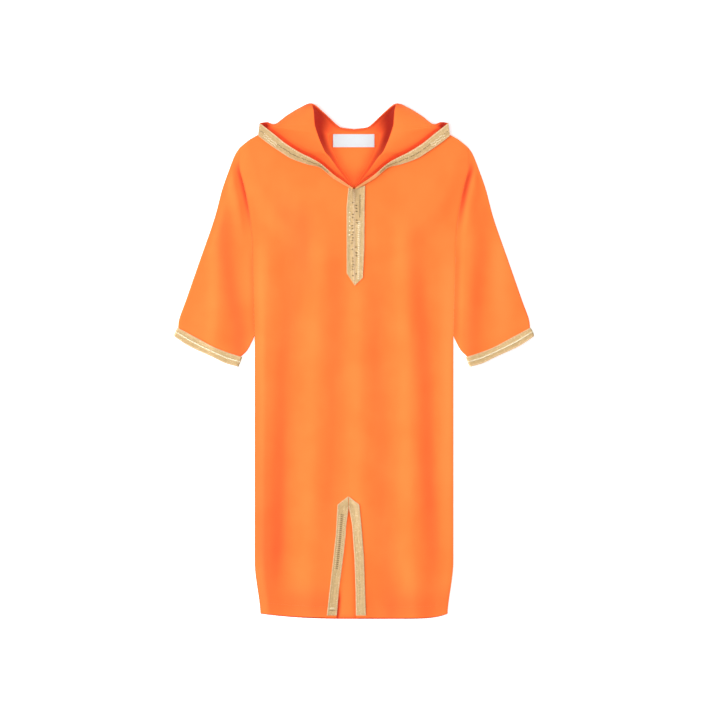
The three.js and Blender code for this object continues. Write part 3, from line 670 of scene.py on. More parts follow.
def sew(name: str, threads: Sequence[Thread]) -> bpy.types.Object:
    """Copy one small modelled thread to every place in a list.

    Args:
        name: the piece's name.
        threads: where each thread lies.

    Returns:
        One object with a mesh of all the threads.
    """
    deselect()
    bpy.ops.mesh.primitive_uv_sphere_add(
        segments=THREAD_SIDES, ring_count=THREAD_RINGS, radius=1, location=(0, 0, 0)
    )
    seed = bpy.context.object
    points = [v.co.copy() for v in seed.data.vertices]
    faces = [tuple(p.vertices) for p in seed.data.polygons]
    bpy.data.objects.remove(seed)
    all_points: list[Vector] = []
    all_faces: list[tuple[int, ...]] = []
    for thread in threads:
        a, b = Vector(thread.start), Vector(thread.end)
        along = (b - a) / 2
        turn = along.to_track_quat("Z", "Y")
        middle = (a + b) / 2
        half = along.length
        base = len(all_points)
        for p in points:
            q = turn @ Vector((p.x * thread.radius, p.y * thread.radius, p.z * half))
            all_points.append((middle + q) * MM)
        all_faces.extend(tuple(base + i for i in face) for face in faces)
    mesh = bpy.data.meshes.new(name)
    mesh.from_pydata(all_points, [], all_faces)
    obj = bpy.data.objects.new(name, mesh)
    bpy.context.scene.collection.objects.link(obj)
    take(obj)
    bpy.ops.object.shade_smooth()
    return obj


# Finishes


@dataclass
class NodeBench:
    """Places shader nodes in a tree."""

    tree: bpy.types.NodeTree

    def add(self, kind: str, **settings: object) -> bpy.types.Node:
        """Add a node.

        Args:
            kind: the node's type.
            settings: values for its settings, or for its inputs where the name starts with in_.

        Returns:
            The node.
        """
        node = self.tree.nodes.new(kind)
        for name, value in settings.items():
            if name.startswith("in_"):
                key = name[3:]
                node.inputs[int(key) if key.isdigit() else key].default_value = value
            else:
                setattr(node, name, value)
        return node

    def feed(self, value: object, into: bpy.types.NodeSocket) -> None:
        """Give an input a value, or connect a socket to it.

        Args:
            value: number, colour or socket.
            into: the input.
        """
        if isinstance(value, bpy.types.NodeSocket):
            self.tree.links.new(value, into)
        else:
            into.default_value = value

    def maths(self, operation: str, a: object, b: object = 0.0, c: object = 0.0) -> bpy.types.NodeSocket:
        """Add a Math node.

        Args:
            operation: Blender's name for it.
            a: first value or socket.
            b: second value or socket.
            c: third value or socket.

        Returns:
            The result's socket.
        """
        node = self.add("ShaderNodeMath", operation=operation)
        for i, value in enumerate((a, b, c)):
            self.feed(value, node.inputs[i])
        return node.outputs[0]

    def zigzag(self, value: bpy.types.NodeSocket) -> bpy.types.NodeSocket:
        """A wave with straight flanks, from 1 at whole numbers to 0 halfway between them."""
        wave = self.maths("FRACT", value)
        return self.maths("ABSOLUTE", self.maths("MULTIPLY_ADD", wave, 2.0, -1.0))

    def ramp(self, value: bpy.types.NodeSocket, low: float, high: float) -> bpy.types.NodeSocket:
        """Bring a value from low..high to a soft 0..1.

        Args:
            value: the value's socket.
            low: where the result is 0.
            high: where it is 1.

        Returns:
            The result's socket.
        """
        node = self.add("ShaderNodeMapRange", interpolation_type="SMOOTHSTEP", in_1=low, in_2=high)
        self.feed(value, node.inputs[0])
        return node.outputs[0]

    def blend(self, share: object, a: object, b: object) -> bpy.types.NodeSocket:
        """Mix two colours.

        Args:
            share: share of the second one, a number or socket.
            a: colour or socket.
            b: colour or socket.

        Returns:
            The colour's socket.
        """
        node = self.add("ShaderNodeMix", data_type="RGBA")
        for key, value in ((0, share), (6, a), (7, b)):
            self.feed(value, node.inputs[key])
        return node.outputs[2]

    def pattern(self, kind: str, coords: bpy.types.NodeSocket, **settings: object) -> bpy.types.Node:
        """Add a texture node that reads some coordinates.

        Args:
            kind: the node's type.
            coords: the coordinates' socket.
            settings: as for add.

        Returns:
            The node.
        """
        node = self.add(kind, **settings)
        self.feed(coords, node.inputs["Vector"])
        return node

    def object_coords(self) -> bpy.types.NodeSocket:
        """The piece's own coordinates, in metres."""
        return self.add("ShaderNodeTexCoord").outputs["Object"]

    def crease(self) -> bpy.types.NodeSocket:
        """The painted shading of a point of the piece: painted shade above 0, painted light below 0."""
        return self.add("ShaderNodeAttribute", attribute_name="crease").outputs["Fac"]

    def surface(self, relief: bpy.types.NodeSocket, strength: float, depth: float, **values: object) -> None:
        """Join a pattern to the material's shader.

        Args:
            relief: socket of the surface's height.
            strength: how much of the relief shows, from 0 to 1.
            depth: of the relief, in metres.
            values: numbers, colours or sockets for the shader's inputs, with _ for a space.
        """
        shader = self.tree.nodes["Principled BSDF"]
        for word, value in values.items():
            self.feed(value, shader.inputs[word.replace("_", " ")])
        bump = self.add("ShaderNodeBump", in_Strength=strength, in_Distance=depth)
        self.feed(relief, bump.inputs["Height"])
        self.feed(bump.outputs[0], shader.inputs["Normal"])


def new_material(name: str) -> tuple[bpy.types.Material, NodeBench]:
    """Start a material.

    Args:
        name: its name.

    Returns:
        The material and a bench to fill it.
    """
    material = bpy.data.materials.new(name)
    material.use_nodes = True
    return material, NodeBench(material.node_tree)


def effect_group(name: str, inputs: dict[str, float], outputs: Sequence[str]) -> NodeBench:
    """Start a shader node group with number sockets.

    Args:
        name: the group's name.
        inputs: names and first values of its inputs.
        outputs: names of its outputs.

    Returns:
        A bench to fill it.
    """
    group = bpy.data.node_groups.new(name, "ShaderNodeTree")
    for word, value in inputs.items():
        socket = group.interface.new_socket(name=word, in_out="INPUT", socket_type="NodeSocketFloat")
        socket.default_value = value
    for word in outputs:
        group.interface.new_socket(name=word, in_out="OUTPUT", socket_type="NodeSocketFloat")
    return NodeBench(group)


def crepe_grain_group() -> bpy.types.NodeTree:
    """The pebbled crepe surface: a fine crinkle, a woven grid and a slow unevenness of tone.

    Returns:
        The node group, with outputs Height and Tone.
    """
    scales = {"Crinkle": 1100.0, "Weave": 2600.0, "Slow": 14.0}
    bench = effect_group("crepe_grain", scales, ["Height", "Tone"])
    given = bench.add("NodeGroupInput").outputs
    out = bench.add("NodeGroupOutput").inputs
    coords = bench.object_coords()
    crinkle = bench.pattern("ShaderNodeTexNoise", coords, in_Detail=3.0, in_Roughness=0.6)
    weave = bench.pattern("ShaderNodeTexVoronoi", coords)
    slow = bench.pattern("ShaderNodeTexNoise", coords, in_Detail=2.0)
    for node, socket in ((crinkle, "Crinkle"), (weave, "Weave"), (slow, "Slow")):
        bench.feed(given[socket], node.inputs["Scale"])
    height = bench.maths("MULTIPLY_ADD", weave.outputs["Distance"], 0.45, crinkle.outputs[0])
    tone = bench.maths("MULTIPLY_ADD", crinkle.outputs[0], 0.35, slow.outputs[0])
    bench.feed(height, out["Height"])
    bench.feed(tone, out["Tone"])
    return bench.tree


def braid_weave_group() -> bpy.types.NodeTree:
    """The woven braid: chevrons either side of its middle, corded edges, mottling and gold glints.

    Returns:
        The node group, with outputs Height, Edge, Line, Mottle and Glint.
    """
    values = {"Pitch": 6.0, "Slant": 2.2, "Cord": 0.13}
    bench = effect_group("braid_weave", values, ["Height", "Edge", "Line", "Mottle", "Glint"])
    given = bench.add("NodeGroupInput").outputs
    out = bench.add("NodeGroupOutput").inputs
    split = bench.add("ShaderNodeSeparateXYZ")
    bench.feed(bench.add("ShaderNodeTexCoord").outputs["UV"], split.inputs[0])
    across, along = split.outputs[0], split.outputs[1]

    off = bench.maths("ABSOLUTE", bench.maths("SUBTRACT", across, 0.5))
    slanted = bench.maths("MULTIPLY_ADD", off, given["Slant"], along)
    chevron = bench.zigzag(bench.maths("MULTIPLY", slanted, given["Pitch"]))
    cord = bench.zigzag(bench.maths("MULTIPLY", bench.maths("SUBTRACT", along, off), 9.0))
    edge = bench.maths("GREATER_THAN", off, bench.maths("SUBTRACT", 0.5, given["Cord"]))
    inside = bench.maths("MULTIPLY", chevron, bench.maths("SUBTRACT", 1.0, edge))
    height = bench.maths("ADD", inside, bench.maths("MULTIPLY", cord, edge))

    coords = bench.object_coords()
    cells = bench.pattern("ShaderNodeTexVoronoi", coords, in_Scale=520.0)
    mottle = bench.pattern("ShaderNodeTexNoise", coords, in_Scale=330.0, in_Detail=3.0, in_Roughness=0.65)
    chosen = bench.add("ShaderNodeSeparateXYZ")
    bench.feed(cells.outputs["Color"], chosen.inputs[0])
    near = bench.ramp(cells.outputs["Distance"], 0.5, 0.2)
    glint = bench.maths("MULTIPLY", near, bench.ramp(chosen.outputs[0], 0.66, 0.8))

    stretched = bench.add("ShaderNodeCombineXYZ")
    bench.feed(bench.maths("MULTIPLY", across, 9.0), stretched.inputs[0])
    bench.feed(bench.maths("MULTIPLY", along, 0.9), stretched.inputs[1])
    streak = bench.pattern("ShaderNodeTexNoise", stretched.outputs[0], in_Scale=1.0, in_Detail=2.0)
    fine = bench.maths("MULTIPLY", mottle.outputs[0], 0.4)
    worn = bench.ramp(bench.maths("MULTIPLY_ADD", streak.outputs[0], 0.6, fine), 0.38, 0.62)

    results = {"Height": height, "Edge": edge, "Line": chevron, "Mottle": worn, "Glint": glint}
    for word, socket in results.items():
        bench.feed(socket, out[word])
    return bench.tree


@dataclass(frozen=True)
class CrepeFinish:
    """Light orange crepe, with painted shade in red and deep red, and painted light in a paler orange, after
    its painted shading value.
    """

    name: str = "orange_crepe"
    base: Colour = (0.93, 0.164, 0.032, 1)
    pale: Colour = (0.95, 0.184, 0.038, 1)
    red: Colour = (0.72, 0.082, 0.022, 1)
    deep: Colour = (0.36, 0.014, 0.005, 1)
    lit: Colour = (0.95, 0.24, 0.056, 1)
    sheen: Colour = (1, 0.62, 0.4, 1)
    roughness: float = 0.81
    relief: float = 0.35
    relief_depth: float = 0.00025

    def make(self, grain_group: bpy.types.NodeTree) -> bpy.types.Material:
        """Build the material.

        The painted shading value turns it to the painted red shade up to 0.5, then to the painted deep shadow
        up to 1, and to painted light where it is below 0.

        Args:
            grain_group: the crepe's grain.

        Returns:
            The material.
        """
        material, bench = new_material(self.name)
        texture = bench.add("ShaderNodeGroup", node_tree=grain_group).outputs
        cloth = bench.blend(bench.ramp(texture["Tone"], 0.45, 0.9), self.base, self.pale)
        # painted shade and painted light, blended over the cloth's own colour
        depth = bench.crease()
        shaded = bench.blend(bench.maths("MULTIPLY", depth, 2.0), cloth, self.red)
        # painted deep shadow from 0.5 to 1
        hidden = bench.blend(bench.maths("MULTIPLY_ADD", depth, 2.0, -1.0), shaded, self.deep)
        bench.surface(
            texture["Height"], self.relief, self.relief_depth,
            # painted light on lit flanks where the value is below 0
            Base_Color=bench.blend(bench.maths("MULTIPLY", depth, -2.0), hidden, self.lit),
            Roughness=bench.maths("MULTIPLY_ADD", texture["Height"], 0.08, self.roughness),
            Specular_IOR_Level=0.1, Sheen_Weight=0.03, Sheen_Roughness=0.6, Sheen_Tint=self.sheen,
        )
        return material


@dataclass(frozen=True)
class BraidFinish:
    """Woven tan and gold braid."""

    name: str = "gold_braid"
    ground: Colour = (0.62, 0.42, 0.195, 1)
    dark: Colour = (0.42, 0.265, 0.11, 1)
    cream: Colour = (0.66, 0.44, 0.235, 1)
    khaki: Colour = (0.40, 0.275, 0.115, 1)
    glint: Colour = (0.92, 0.82, 0.56, 1)
    shade: Colour = (0.22, 0.125, 0.045, 1)
    warm: Colour = (0.88, 0.40, 0.14, 1)
    relief: float = 0.6
    relief_depth: float = 0.0003

    def make(self, weave_group: bpy.types.NodeTree) -> bpy.types.Material:
        """Build the material.

        The painted shading value turns it towards its shade colour above 0, and towards painted warm bounce
        light below 0.

        Args:
            weave_group: the braid's weave.

        Returns:
            The material.
        """
        material, bench = new_material(self.name)
        weave = bench.add("ShaderNodeGroup", node_tree=weave_group).outputs
        depth = bench.crease()
        corded = bench.maths("MULTIPLY_ADD", weave["Mottle"], 0.5, 0.35)
        layers = (
            (bench.maths("MULTIPLY_ADD", weave["Mottle"], -0.66, 0.6), self.khaki),
            (bench.maths("MULTIPLY", weave["Edge"], corded), self.cream),
            (bench.maths("MULTIPLY", weave["Glint"], 0.4), self.glint),
            # painted shade at the top of the placket's joint, and a darker all-over tone on some braids
            (depth, self.shade),
            # painted warm light, as reflected from the orange cloth
            (bench.maths("MULTIPLY", depth, -1.0), self.warm),
        )
        colour = bench.blend(bench.ramp(weave["Height"], 0.0, 0.55), self.dark, self.ground)
        for share, over in layers:
            colour = bench.blend(share, colour, over)
        bench.surface(
            weave["Height"], self.relief, self.relief_depth, Base_Color=colour,
            Metallic=bench.maths("MULTIPLY_ADD", weave["Glint"], 0.25, 0.1),
            Roughness=bench.maths("MULTIPLY_ADD", weave["Line"], -0.12, 0.55),
        )
        return material


@dataclass(frozen=True)
class ThreadFinish:
    """Sewing thread or metal thread, twisted."""

    name: str
    light: Colour
    dark: Colour
    metallic: float
    roughness: float
    relief: float = 0.4
    relief_depth: float = 0.0001

    def make(self) -> bpy.types.Material:
        """Build the material.

        Returns:
            The material.
        """
        material, bench = new_material(self.name)
        twist = bench.pattern(
            "ShaderNodeTexWave", bench.object_coords(), wave_type="BANDS", bands_direction="DIAGONAL",
            in_Scale=900.0, in_Distortion=2.0,
        ).outputs["Fac"]
        bench.surface(
            twist, self.relief, self.relief_depth,
            Base_Color=bench.blend(twist, self.dark, self.light),
            Metallic=self.metallic,
            Roughness=bench.maths("MULTIPLY_ADD", twist, -0.1, self.roughness),
        )
        return material


@dataclass(frozen=True)
class LabelFinish:
    """Plain white woven label."""

    name: str = "white_label"
    white: Colour = (0.60, 0.65, 0.67, 1)
    shade: Colour = (0.52, 0.565, 0.595, 1)
    relief: float = 0.4
    relief_depth: float = 0.00012

    def make(self) -> bpy.types.Material:
        """Build the material.

        Returns:
            The material.
        """
        material, bench = new_material(self.name)
        coords = bench.object_coords()
        ribs, cross = (
            bench.pattern("ShaderNodeTexWave", coords, wave_type="BANDS", bands_direction=way, in_Scale=scale)
            for way, scale in (("Y", 700.0), ("X", 450.0))
        )
        tone = bench.pattern("ShaderNodeTexNoise", coords, in_Scale=160.0, in_Detail=3.0)
        woven = bench.maths("MULTIPLY", ribs.outputs["Fac"], cross.outputs["Fac"])
        uneven = bench.maths("MULTIPLY_ADD", tone.outputs[0], 0.5, bench.maths("MULTIPLY", woven, 0.5))
        bench.surface(
            woven, self.relief, self.relief_depth,
            Base_Color=bench.blend(uneven, self.shade, self.white),
            Roughness=bench.maths("MULTIPLY_ADD", woven, 0.15, 0.5),
        )
        return material


@dataclass(frozen=True)
class Finishes:
    """All the garment's materials."""

    crepe: bpy.types.Material
    braid: bpy.types.Material
    gold: bpy.types.Material
    olive: bpy.types.Material
    cream: bpy.types.Material
    orange: bpy.types.Material
    label: bpy.types.Material


def make_finishes() -> Finishes:
    """Build every material once.

    Returns:
        The materials.
    """
    return Finishes(
        crepe=CrepeFinish().make(crepe_grain_group()),
        braid=BraidFinish().make(braid_weave_group()),
        gold=ThreadFinish("gold_thread", (0.95, 0.89, 0.68, 1), (0.82, 0.68, 0.42, 1), 0.3, 0.35).make(),
        olive=ThreadFinish("olive_thread", (0.20, 0.125, 0.05, 1), (0.11, 0.065, 0.025, 1), 0.1, 0.6).make(),
        cream=ThreadFinish("cream_thread", (0.72, 0.56, 0.36, 1), (0.55, 0.4, 0.22, 1), 0.1, 0.6).make(),
        orange=ThreadFinish("orange_thread", (0.95, 0.25, 0.06, 1), (0.8, 0.14, 0.03, 1), 0.0, 0.7).make(),
        label=LabelFinish().make(),
    )


# Sub-assemblies


@dataclass
class BodyPanels:
    """The back panel and the front panel, with neck opening, centre slit and hem slit."""

    lay: Lay
    finishes: Finishes
    neck_corner: Flat = (385.0, -62.0)
    neck_clear: float = 2.6
    neck_foot: Flat = (NECK_V_Y, -5.2)
    slit_half: float = 0.5
    slit_top: float = 281.0
    slit_foot: float = 152.0
    slit_end: Flat = (146.0, 0.0)
    hem_turn: float = 18.0
    front_raise: float = 2.0
    back_raise: float = 0.08
    back_columns: int = 92
    back_rows: int = 190
    stitch_pitch: float = 3.4
    stitch_long: float = 2.3
    stitch_radius: float = 0.17
    seam_painted_shade: float = 0.14
    hem_painted_shade: float = 0.19
    trough_red: float = 0.46
    neck_painted_shade: float = 0.22
    slit_painted_shadow: float = 0.85
    hem_painted_shadow: float = 0.62

    def inner_edge(self, side: Side) -> list[Flat]:
        """The front half panel's inner edge from shoulder to hem.

        Args:
            side: which half.

        Returns:
            Rows of y and x.
        """
        neck = [self.neck_corner]
        neck += [(row[0][1], row[0][0] - self.neck_clear) for row in reversed(HOOD_FACE[1:])]
        neck += [self.neck_foot, (self.slit_top, -self.slit_half), (self.slit_foot, -self.slit_half)]
        above = [(y, -side.value * x) for y, x in neck]
        column, inset = (2, -SLIT_EDGE_INSET) if side is Side.LEFT else (3, SLIT_EDGE_INSET)
        below = [self.slit_end, (SLIT_APEX[1], SLIT_APEX[0])]
        below += [(row[0], row[column] + inset) for row in SLIT_ROWS if row[0] < SLIT_APEX[1]]
        return above + below

    def front_hem(self, x: float) -> float:
        """Lower edge of the front panel, which ends a little above the back one."""
        return self.lay.hem_y(x) + self.front_raise * (1 - 0.7 * (x / HEM_HALF) ** 2)

    def front_half(self, side: Side) -> bpy.types.Object:
        """Lay one half of the front panel.

        Args:
            side: which half.

        Returns:
            The half, without thickness.
        """
        inner = self.inner_edge(side)
        corner_x, corner_y = side.value * -SHOULDER[0][0], SHOULDER[0][1]
        outer_hem = side.value * HEM_HALF
        inner_y, inner_x = inner[0]
        inner_hem = inner[-1][1]

        def place(u: float, v: float) -> Point:
            """Put a point of the half in its place.

            Args:
                u: share across, left to right.
                v: share down.

            Returns:
                x, y, z.
            """
            w = u if side is Side.LEFT else 1 - u
            y_outer = mix(corner_y, self.front_hem(outer_hem), v)
            edge_x = read_table(inner, 0, 1, mix(inner_y, self.front_hem(inner_hem), v))
            x = mix(side.value * self.lay.body_half(y_outer), edge_x, w)
            top_y = self.lay.shoulder_y(mix(corner_x, inner_x, w))
            y = mix(top_y, self.front_hem(mix(outer_hem, inner_hem, w)), v)
            up = y - self.front_hem(x)
            turned = 0.22 * smooth((self.hem_turn - up) / 2) - 0.3 * bell(up - self.hem_turn, 1.1)
            at_cut = 1 - smooth(abs(x - edge_x) / 2.5)
            rolled = 0.35 * at_cut * smooth((y - 150) / 10) if y > 0 else 0.0
            return x, y, self.lay.front_top(x, y) + turned - rolled

        def crease(u: float, v: float) -> float:
            """Paint shade along the armhole seam, in a band above the hem and in the troughs, and painted
            light on the troughs' lit flanks.

            Args:
                u: share across, left to right.
                v: share down.

            Returns:
                The painted shading: shade above 0, light below 0.
            """
            x, y, _ = place(u, v)
            seam = self.lay.body_half(y) - abs(x)
            # painted shade in the armhole seam's groove
            seam_line_shade = self.seam_painted_shade * bell(seam, 1.2) * smooth((y - 60) / 150) * smooth((350 - y) / 20)
            even = (1 - 0.8 * bell(x - 42, 26)) * (1 - 0.5 * bell(abs(x) - 130, 25))
            # painted shade in a band above the hem
            hem = self.hem_painted_shade * even * bell(y - self.front_hem(x) - 22, 26)
            # painted shade in the troughs and painted light on their lit flanks
            return seam_line_shade + hem + self.trough_red * self.lay.trough(FRONT_TROUGHS, x, y)

        columns, rows = round((BODY_HALF + 10) / FINE), round((corner_y - HEM_SIDE_Y) / FINE)
        return lay_grid(f"front_half_{side.word}", columns, rows, place, crease)

    def front(self) -> None:
        """Build the front panel."""
        panel = join([self.front_half(side) for side in Side], "front_panel_cloth")
        weld(panel)
        finish_sheet(panel, CLOTH)
        dress(panel, self.finishes.crepe, "crepe", "front_body")

    def back(self) -> None:
        """Build the back panel."""
        corner_x, corner_y = -SHOULDER[0][0], SHOULDER[0][1]
        neck = [(row[0][1], -row[0][0]) for row in [*HOOD_FACE, *HOOD_FOLD[1:3]]]

        def place(u: float, v: float) -> Point:
            """Put a point of the panel in its place.

            Args:
                u: share across, left to right.
                v: share down.

            Returns:
                x, y, z.
            """
            across = 2 * u - 1
            y = mix(self.lay.shoulder_y(across * corner_x), self.lay.hem_y(across * HEM_HALF), v)
            x = across * (corner_x if y > corner_y else self.lay.body_half(y))
            inside = smooth((self.lay.body_half(y) - abs(x)) / self.lay.fold_edge)
            folds = sum(f.rise(x, y) for f in BACK_FOLDS) * inside
            turned = 0.2 * smooth((self.hem_turn - (y - self.lay.hem_y(x))) / 2)
            base = self.lay.layer_lift(x, y) + CLOTH + self.back_raise
            return x, y, base + folds + turned + self.lay.edge_roll(x, y)

        def crease(u: float, v: float) -> float:
            """Paint shade on what shows of the panel: inside the neck by the hood, a shadow beside the hem
            slit's left braid, and a shadow line just below the front hem.

            Args:
                u: share across, left to right.
                v: share down.

            Returns:
                The painted shade.
            """
            x, y, _ = place(u, v)
            if y > 0:
                # painted shade inside the neck, along the hood's neck edges and more towards the V
                by_hood = bell(abs(abs(x) - read_table(neck, 0, 1, y)), 9)
                sides = mix(0.1, self.neck_painted_shade, smooth((y - 300) / 40)) * by_hood
                return (sides + self.neck_painted_shade * smooth((324 - y) / 24)) * smooth((y - 270) / 15)
            if y > SLIT_ROWS[3][0]:
                return 0.0
            # painted shadow beside the slit's left braid, and a painted shadow line below the front hem
            by_braid = bell(x - read_table(SLIT_ROWS, 0, 2, y) - 0.5, 3.5)
            at_hem = self.hem_painted_shadow * bell(y - self.lay.hem_y(x) - 1.0, 2.4)
            return max(self.slit_painted_shadow * by_braid * smooth((-372 - y) / 26), at_hem)

        panel = lay_grid("back_panel_cloth", self.back_columns, self.back_rows, place, crease)
        weld(panel)
        finish_sheet(panel, CLOTH)
        dress(panel, self.finishes.crepe, "crepe", "back_body")

    def hem_stitching(self) -> None:
        """Sew the running stitch that holds the front hem."""
        threads: list[Thread] = []
        x = -HEM_HALF + 3
        while x < HEM_HALF - 4:
            in_slit = SLIT_ROWS[-1][1] - 1 < x + self.stitch_long and x < SLIT_ROWS[-1][4] + 1
            if not in_slit:
                ends = []
                for at in (x, x + self.stitch_long):
                    y = self.front_hem(at) + self.hem_turn
                    ends.append((at, y, self.lay.front_top(at, y) - 0.12))
                threads.append(Thread(ends[0], ends[1], self.stitch_radius))
            x += self.stitch_pitch
        dress(sew("hem_stitching", threads), self.finishes.orange, "crepe")


@dataclass(frozen=True)
class FlatTube:
    """A tube of cloth pressed flat: over the top from fold to fold, and back underneath."""

    half: int = 58
    fold_round: float = 2.6
    edge_steps: tuple[float, ...] = (0.0, 0.3, 0.9, 1.8, 3.0, 5.0, 8.0)

    def share(self, k: int, width: float) -> float:
        """Share of the width at one of the tube's places, closer together at its folds.

        Args:
            k: number of the place, from 0 at one fold to half at the other.
            width: of the flat tube.

        Returns:
            The share.
        """
        last = len(self.edge_steps) - 1
        if k <= last:
            return self.edge_steps[k] / width
        if k >= self.half - last:
            return 1 - self.edge_steps[self.half - k] / width
        start = self.edge_steps[last] / width
        return mix(start, 1 - start, (k - last) / (self.half - 2 * last))

    def point(
        self,
        around: int,
        width: float,
        place: Callable[[float], Flat],
        levels: Callable[[float, float], Flat],
    ) -> tuple[float, float, float, float]:
        """One point of the tube.

        Args:
            around: number of the place round the tube, from 0 to twice half.
            width: of the flat tube there.
            place: from a share of the width to x and y.
            levels: from x and y to the tube's lowest and highest level.

        Returns:
            x, y, z, and how far the point is up the rounded fold, from 0 to 1.
        """
        under = around > self.half
        v = self.share(2 * self.half - around if under else around, width)
        x, y = place(v)
        bottom, top = levels(x, y)
        rise = math.sqrt(1 - (1 - clamp01(min(v, 1 - v) * width / self.fold_round)) ** 2)
        middle = bottom + WALL + SEAM / 2
        z = middle - (middle - bottom) * rise if under else middle + (top - middle) * rise
        return x, y, z, rise


@dataclass
class Sleeves:
    """Both sleeves and the braid round their cuffs."""

    lay: Lay
    finishes: Finishes
    tube: FlatTube = FlatTube()
    rows: int = 92
    band_columns: int = 22
    band_long: float = 250.0
    band_floor: float = 0.12
    crisp: float = 75.0
    cord_radius: float = 0.42
    cord_out: float = 0.28
    cord_step: float = 1.35
    cord_reach: float = 1.7
    cord_half: float = 0.09
    seam_painted_shade: float = 0.72
    seam_low_painted_shade: float = 0.14
    seam_width: float = 5.2
    trough_red: float = 0.42
    braid_painted_shade_left: float = 0.06
    braid_painted_light_right: float = -0.02

    def __post_init__(self) -> None:
        """Prepare the edges of the sleeve's cut and of its braid."""
        start, under = (
            [(edge[0][0] - SEAM_SHUT, edge[0][1]), *edge[1:]] for edge in (SLEEVE_TOP_EDGE, SLEEVE_UNDER_EDGE)
        )
        self.upper = even_curve(start)
        self.under = even_curve(under)
        self.cuff = even_curve(CUFF_EDGE)
        self.band_upper = even_curve(CUFF_TRIM_UPPER)
        self.band_lower = even_curve(CUFF_TRIM_LOWER)

    def armhole(self, v: float) -> Flat:
        """A point down the armhole."""
        y = mix(ARMHOLE[0][1], UNDERARM_Y, v)
        return read_table(ARMHOLE, 1, 0, y) - SEAM_SHUT, y

    def patch(self, u: float, v: float) -> Flat:
        """A point of the left sleeve's flat shape between its four edges.

        Args:
            u: from armhole to cuff.
            v: from upper to under edge.

        Returns:
            x and y.
        """
        a, c, t, b = self.armhole(v), self.cuff(v), self.upper(u), self.under(u)
        a0, a1, c0, c1 = self.armhole(0), self.armhole(1), self.cuff(0), self.cuff(1)

        def one(i: int) -> float:
            """Blend one coordinate.

            Args:
                i: number of the coordinate.

            Returns:
                Its value.
            """
            across = a[i] * (1 - u) + c[i] * u
            along = t[i] * (1 - v) + b[i] * v
            corners = (a0[i] * (1 - v) + a1[i] * v) * (1 - u) + (c0[i] * (1 - v) + c1[i] * v) * u
            return across + along - corners

        return one(0), one(1)

    def sleeve(self, side: Side) -> None:
        """Build one sleeve.

        Args:
            side: which one.
        """

        def levels(x: float, y: float) -> Flat:
            """The tube's lowest and highest level at a place of the left sleeve.

            Args:
                x: place across.
                y: place along.

            Returns:
                Both heights.
            """
            away = smooth(self.lay.from_seam(x, y) / 10)
            lift = 0.5 * max(0.0, grain(x, y, 28, 70, 4.4 + side.value)) * away
            return self.lay.sleeve_base(x, y) + lift + 0.05, self.lay.sleeve_top(side.value * abs(x), y)

        def place(u: float, v: float) -> Point:
            """Put a point of the sleeve in its place.

            Args:
                u: share round the tube.
                v: share from armhole to cuff.

            Returns:
                x, y, z.
            """
            width = math.dist(self.patch(v, 0), self.patch(v, 1))
            k = round(u * 2 * self.tube.half)
            x, y, z, _ = self.tube.point(k, width, lambda s: self.patch(v, s), levels)
            return side.value * -x, y, z

        def crease(u: float, v: float) -> float:
            """Paint shade on the sleeve along the armhole seam and in its troughs, and painted light on the
            troughs' lit flanks.

            Args:
                u: share round the tube.
                v: share from armhole to cuff.

            Returns:
                The painted shading: shade above 0, light below 0.
            """
            x, y, _ = place(u, v)
            off_seam = self.lay.from_seam(x, y)
            # painted shade in a streak beside the armhole seam, strong up high and faint lower down
            high = self.seam_painted_shade * smooth((y - 205) / 80) * smooth((338 - y) / 36)
            low = self.seam_low_painted_shade * smooth((205 - y) / 60) * smooth((y - 30) / 30)
            off = max(0.0, off_seam - 1.0) if side is Side.LEFT else off_seam - 3.6
            # painted shade in the sleeve's troughs, painted light on their lit flanks
            in_trough = self.trough_red * self.lay.trough(SLEEVE_TROUGHS, x, y)
            return (high + low) * bell(off, self.seam_width) + in_trough

        cloth = lay_grid(f"sleeve_cloth_{side.word}", 2 * self.tube.half, self.rows, place, crease)
        weld(cloth, closed=True)
        finish_sheet(cloth, CLOTH, self.crisp)
        dress(cloth, self.finishes.crepe, "crepe", f"sleeve_{side.word}")

    def band_point(self, side: Side, w: float, around: int, out: float = 0.0) -> Point:
        """A point of the braid round a cuff.

        Args:
            side: which cuff.
            w: share of the braid's width, from the sleeve to the free edge.
            around: number of the place round the tube.
            out: how far the point stands off the braid's face.

        Returns:
            x, y, z.
        """
        rounded = 0.013 * abs(2 * w - 1) ** 5

        def place(v: float) -> Flat:
            """A point along the cuff, whose upper end is a little rounded.

            Args:
                v: share along it.

            Returns:
                x and y.
            """
            inward = mix(rounded, 1, v)
            a, b = self.band_upper(inward), self.band_lower(inward)
            return mix(a[0], b[0], w), mix(a[1], b[1], w)

        def levels(x: float, y: float) -> Flat:
            """The braid's lowest and highest level at a place."""
            return self.band_floor, self.lay.sleeve_top(side.value * abs(x), y) + SEAM + TRIM

        width = math.dist(place(0), place(1))
        x, y, z, rise = self.tube.point(around, width, place, levels)
        relief = 0.25 * bell(w - 0.5, 0.08) + edge_cords(w, 0.22, 0.08) - 0.12
        up = -0.3 if around > self.tube.half else 1.0
        return side.value * -x, y, z + (relief + out) * rise * up

    def cuff_braid(self, side: Side) -> None:
        """Build the braid round one cuff.

        Args:
            side: which one.
        """
        around = 2 * self.tube.half
        # painted shading differs between the cuffs: a little painted shade on the left, a little painted warm
        # light on the right
        tone = self.braid_painted_shade_left if side is Side.LEFT else self.braid_painted_light_right

        def place(u: float, v: float) -> Point:
            """Put a point of the braid in its place."""
            return self.band_point(side, u, round(v * around))

        braid = lay_grid(
            f"cuff_braid_{side.word}", self.band_columns, around, place, lambda u, v: tone, self.band_long
        )
        weld(braid, closed=True)
        finish_sheet(braid, BRAID, self.crisp)
        dress(braid, self.finishes.braid, "braid", f"cuff_trim_{side.word}")

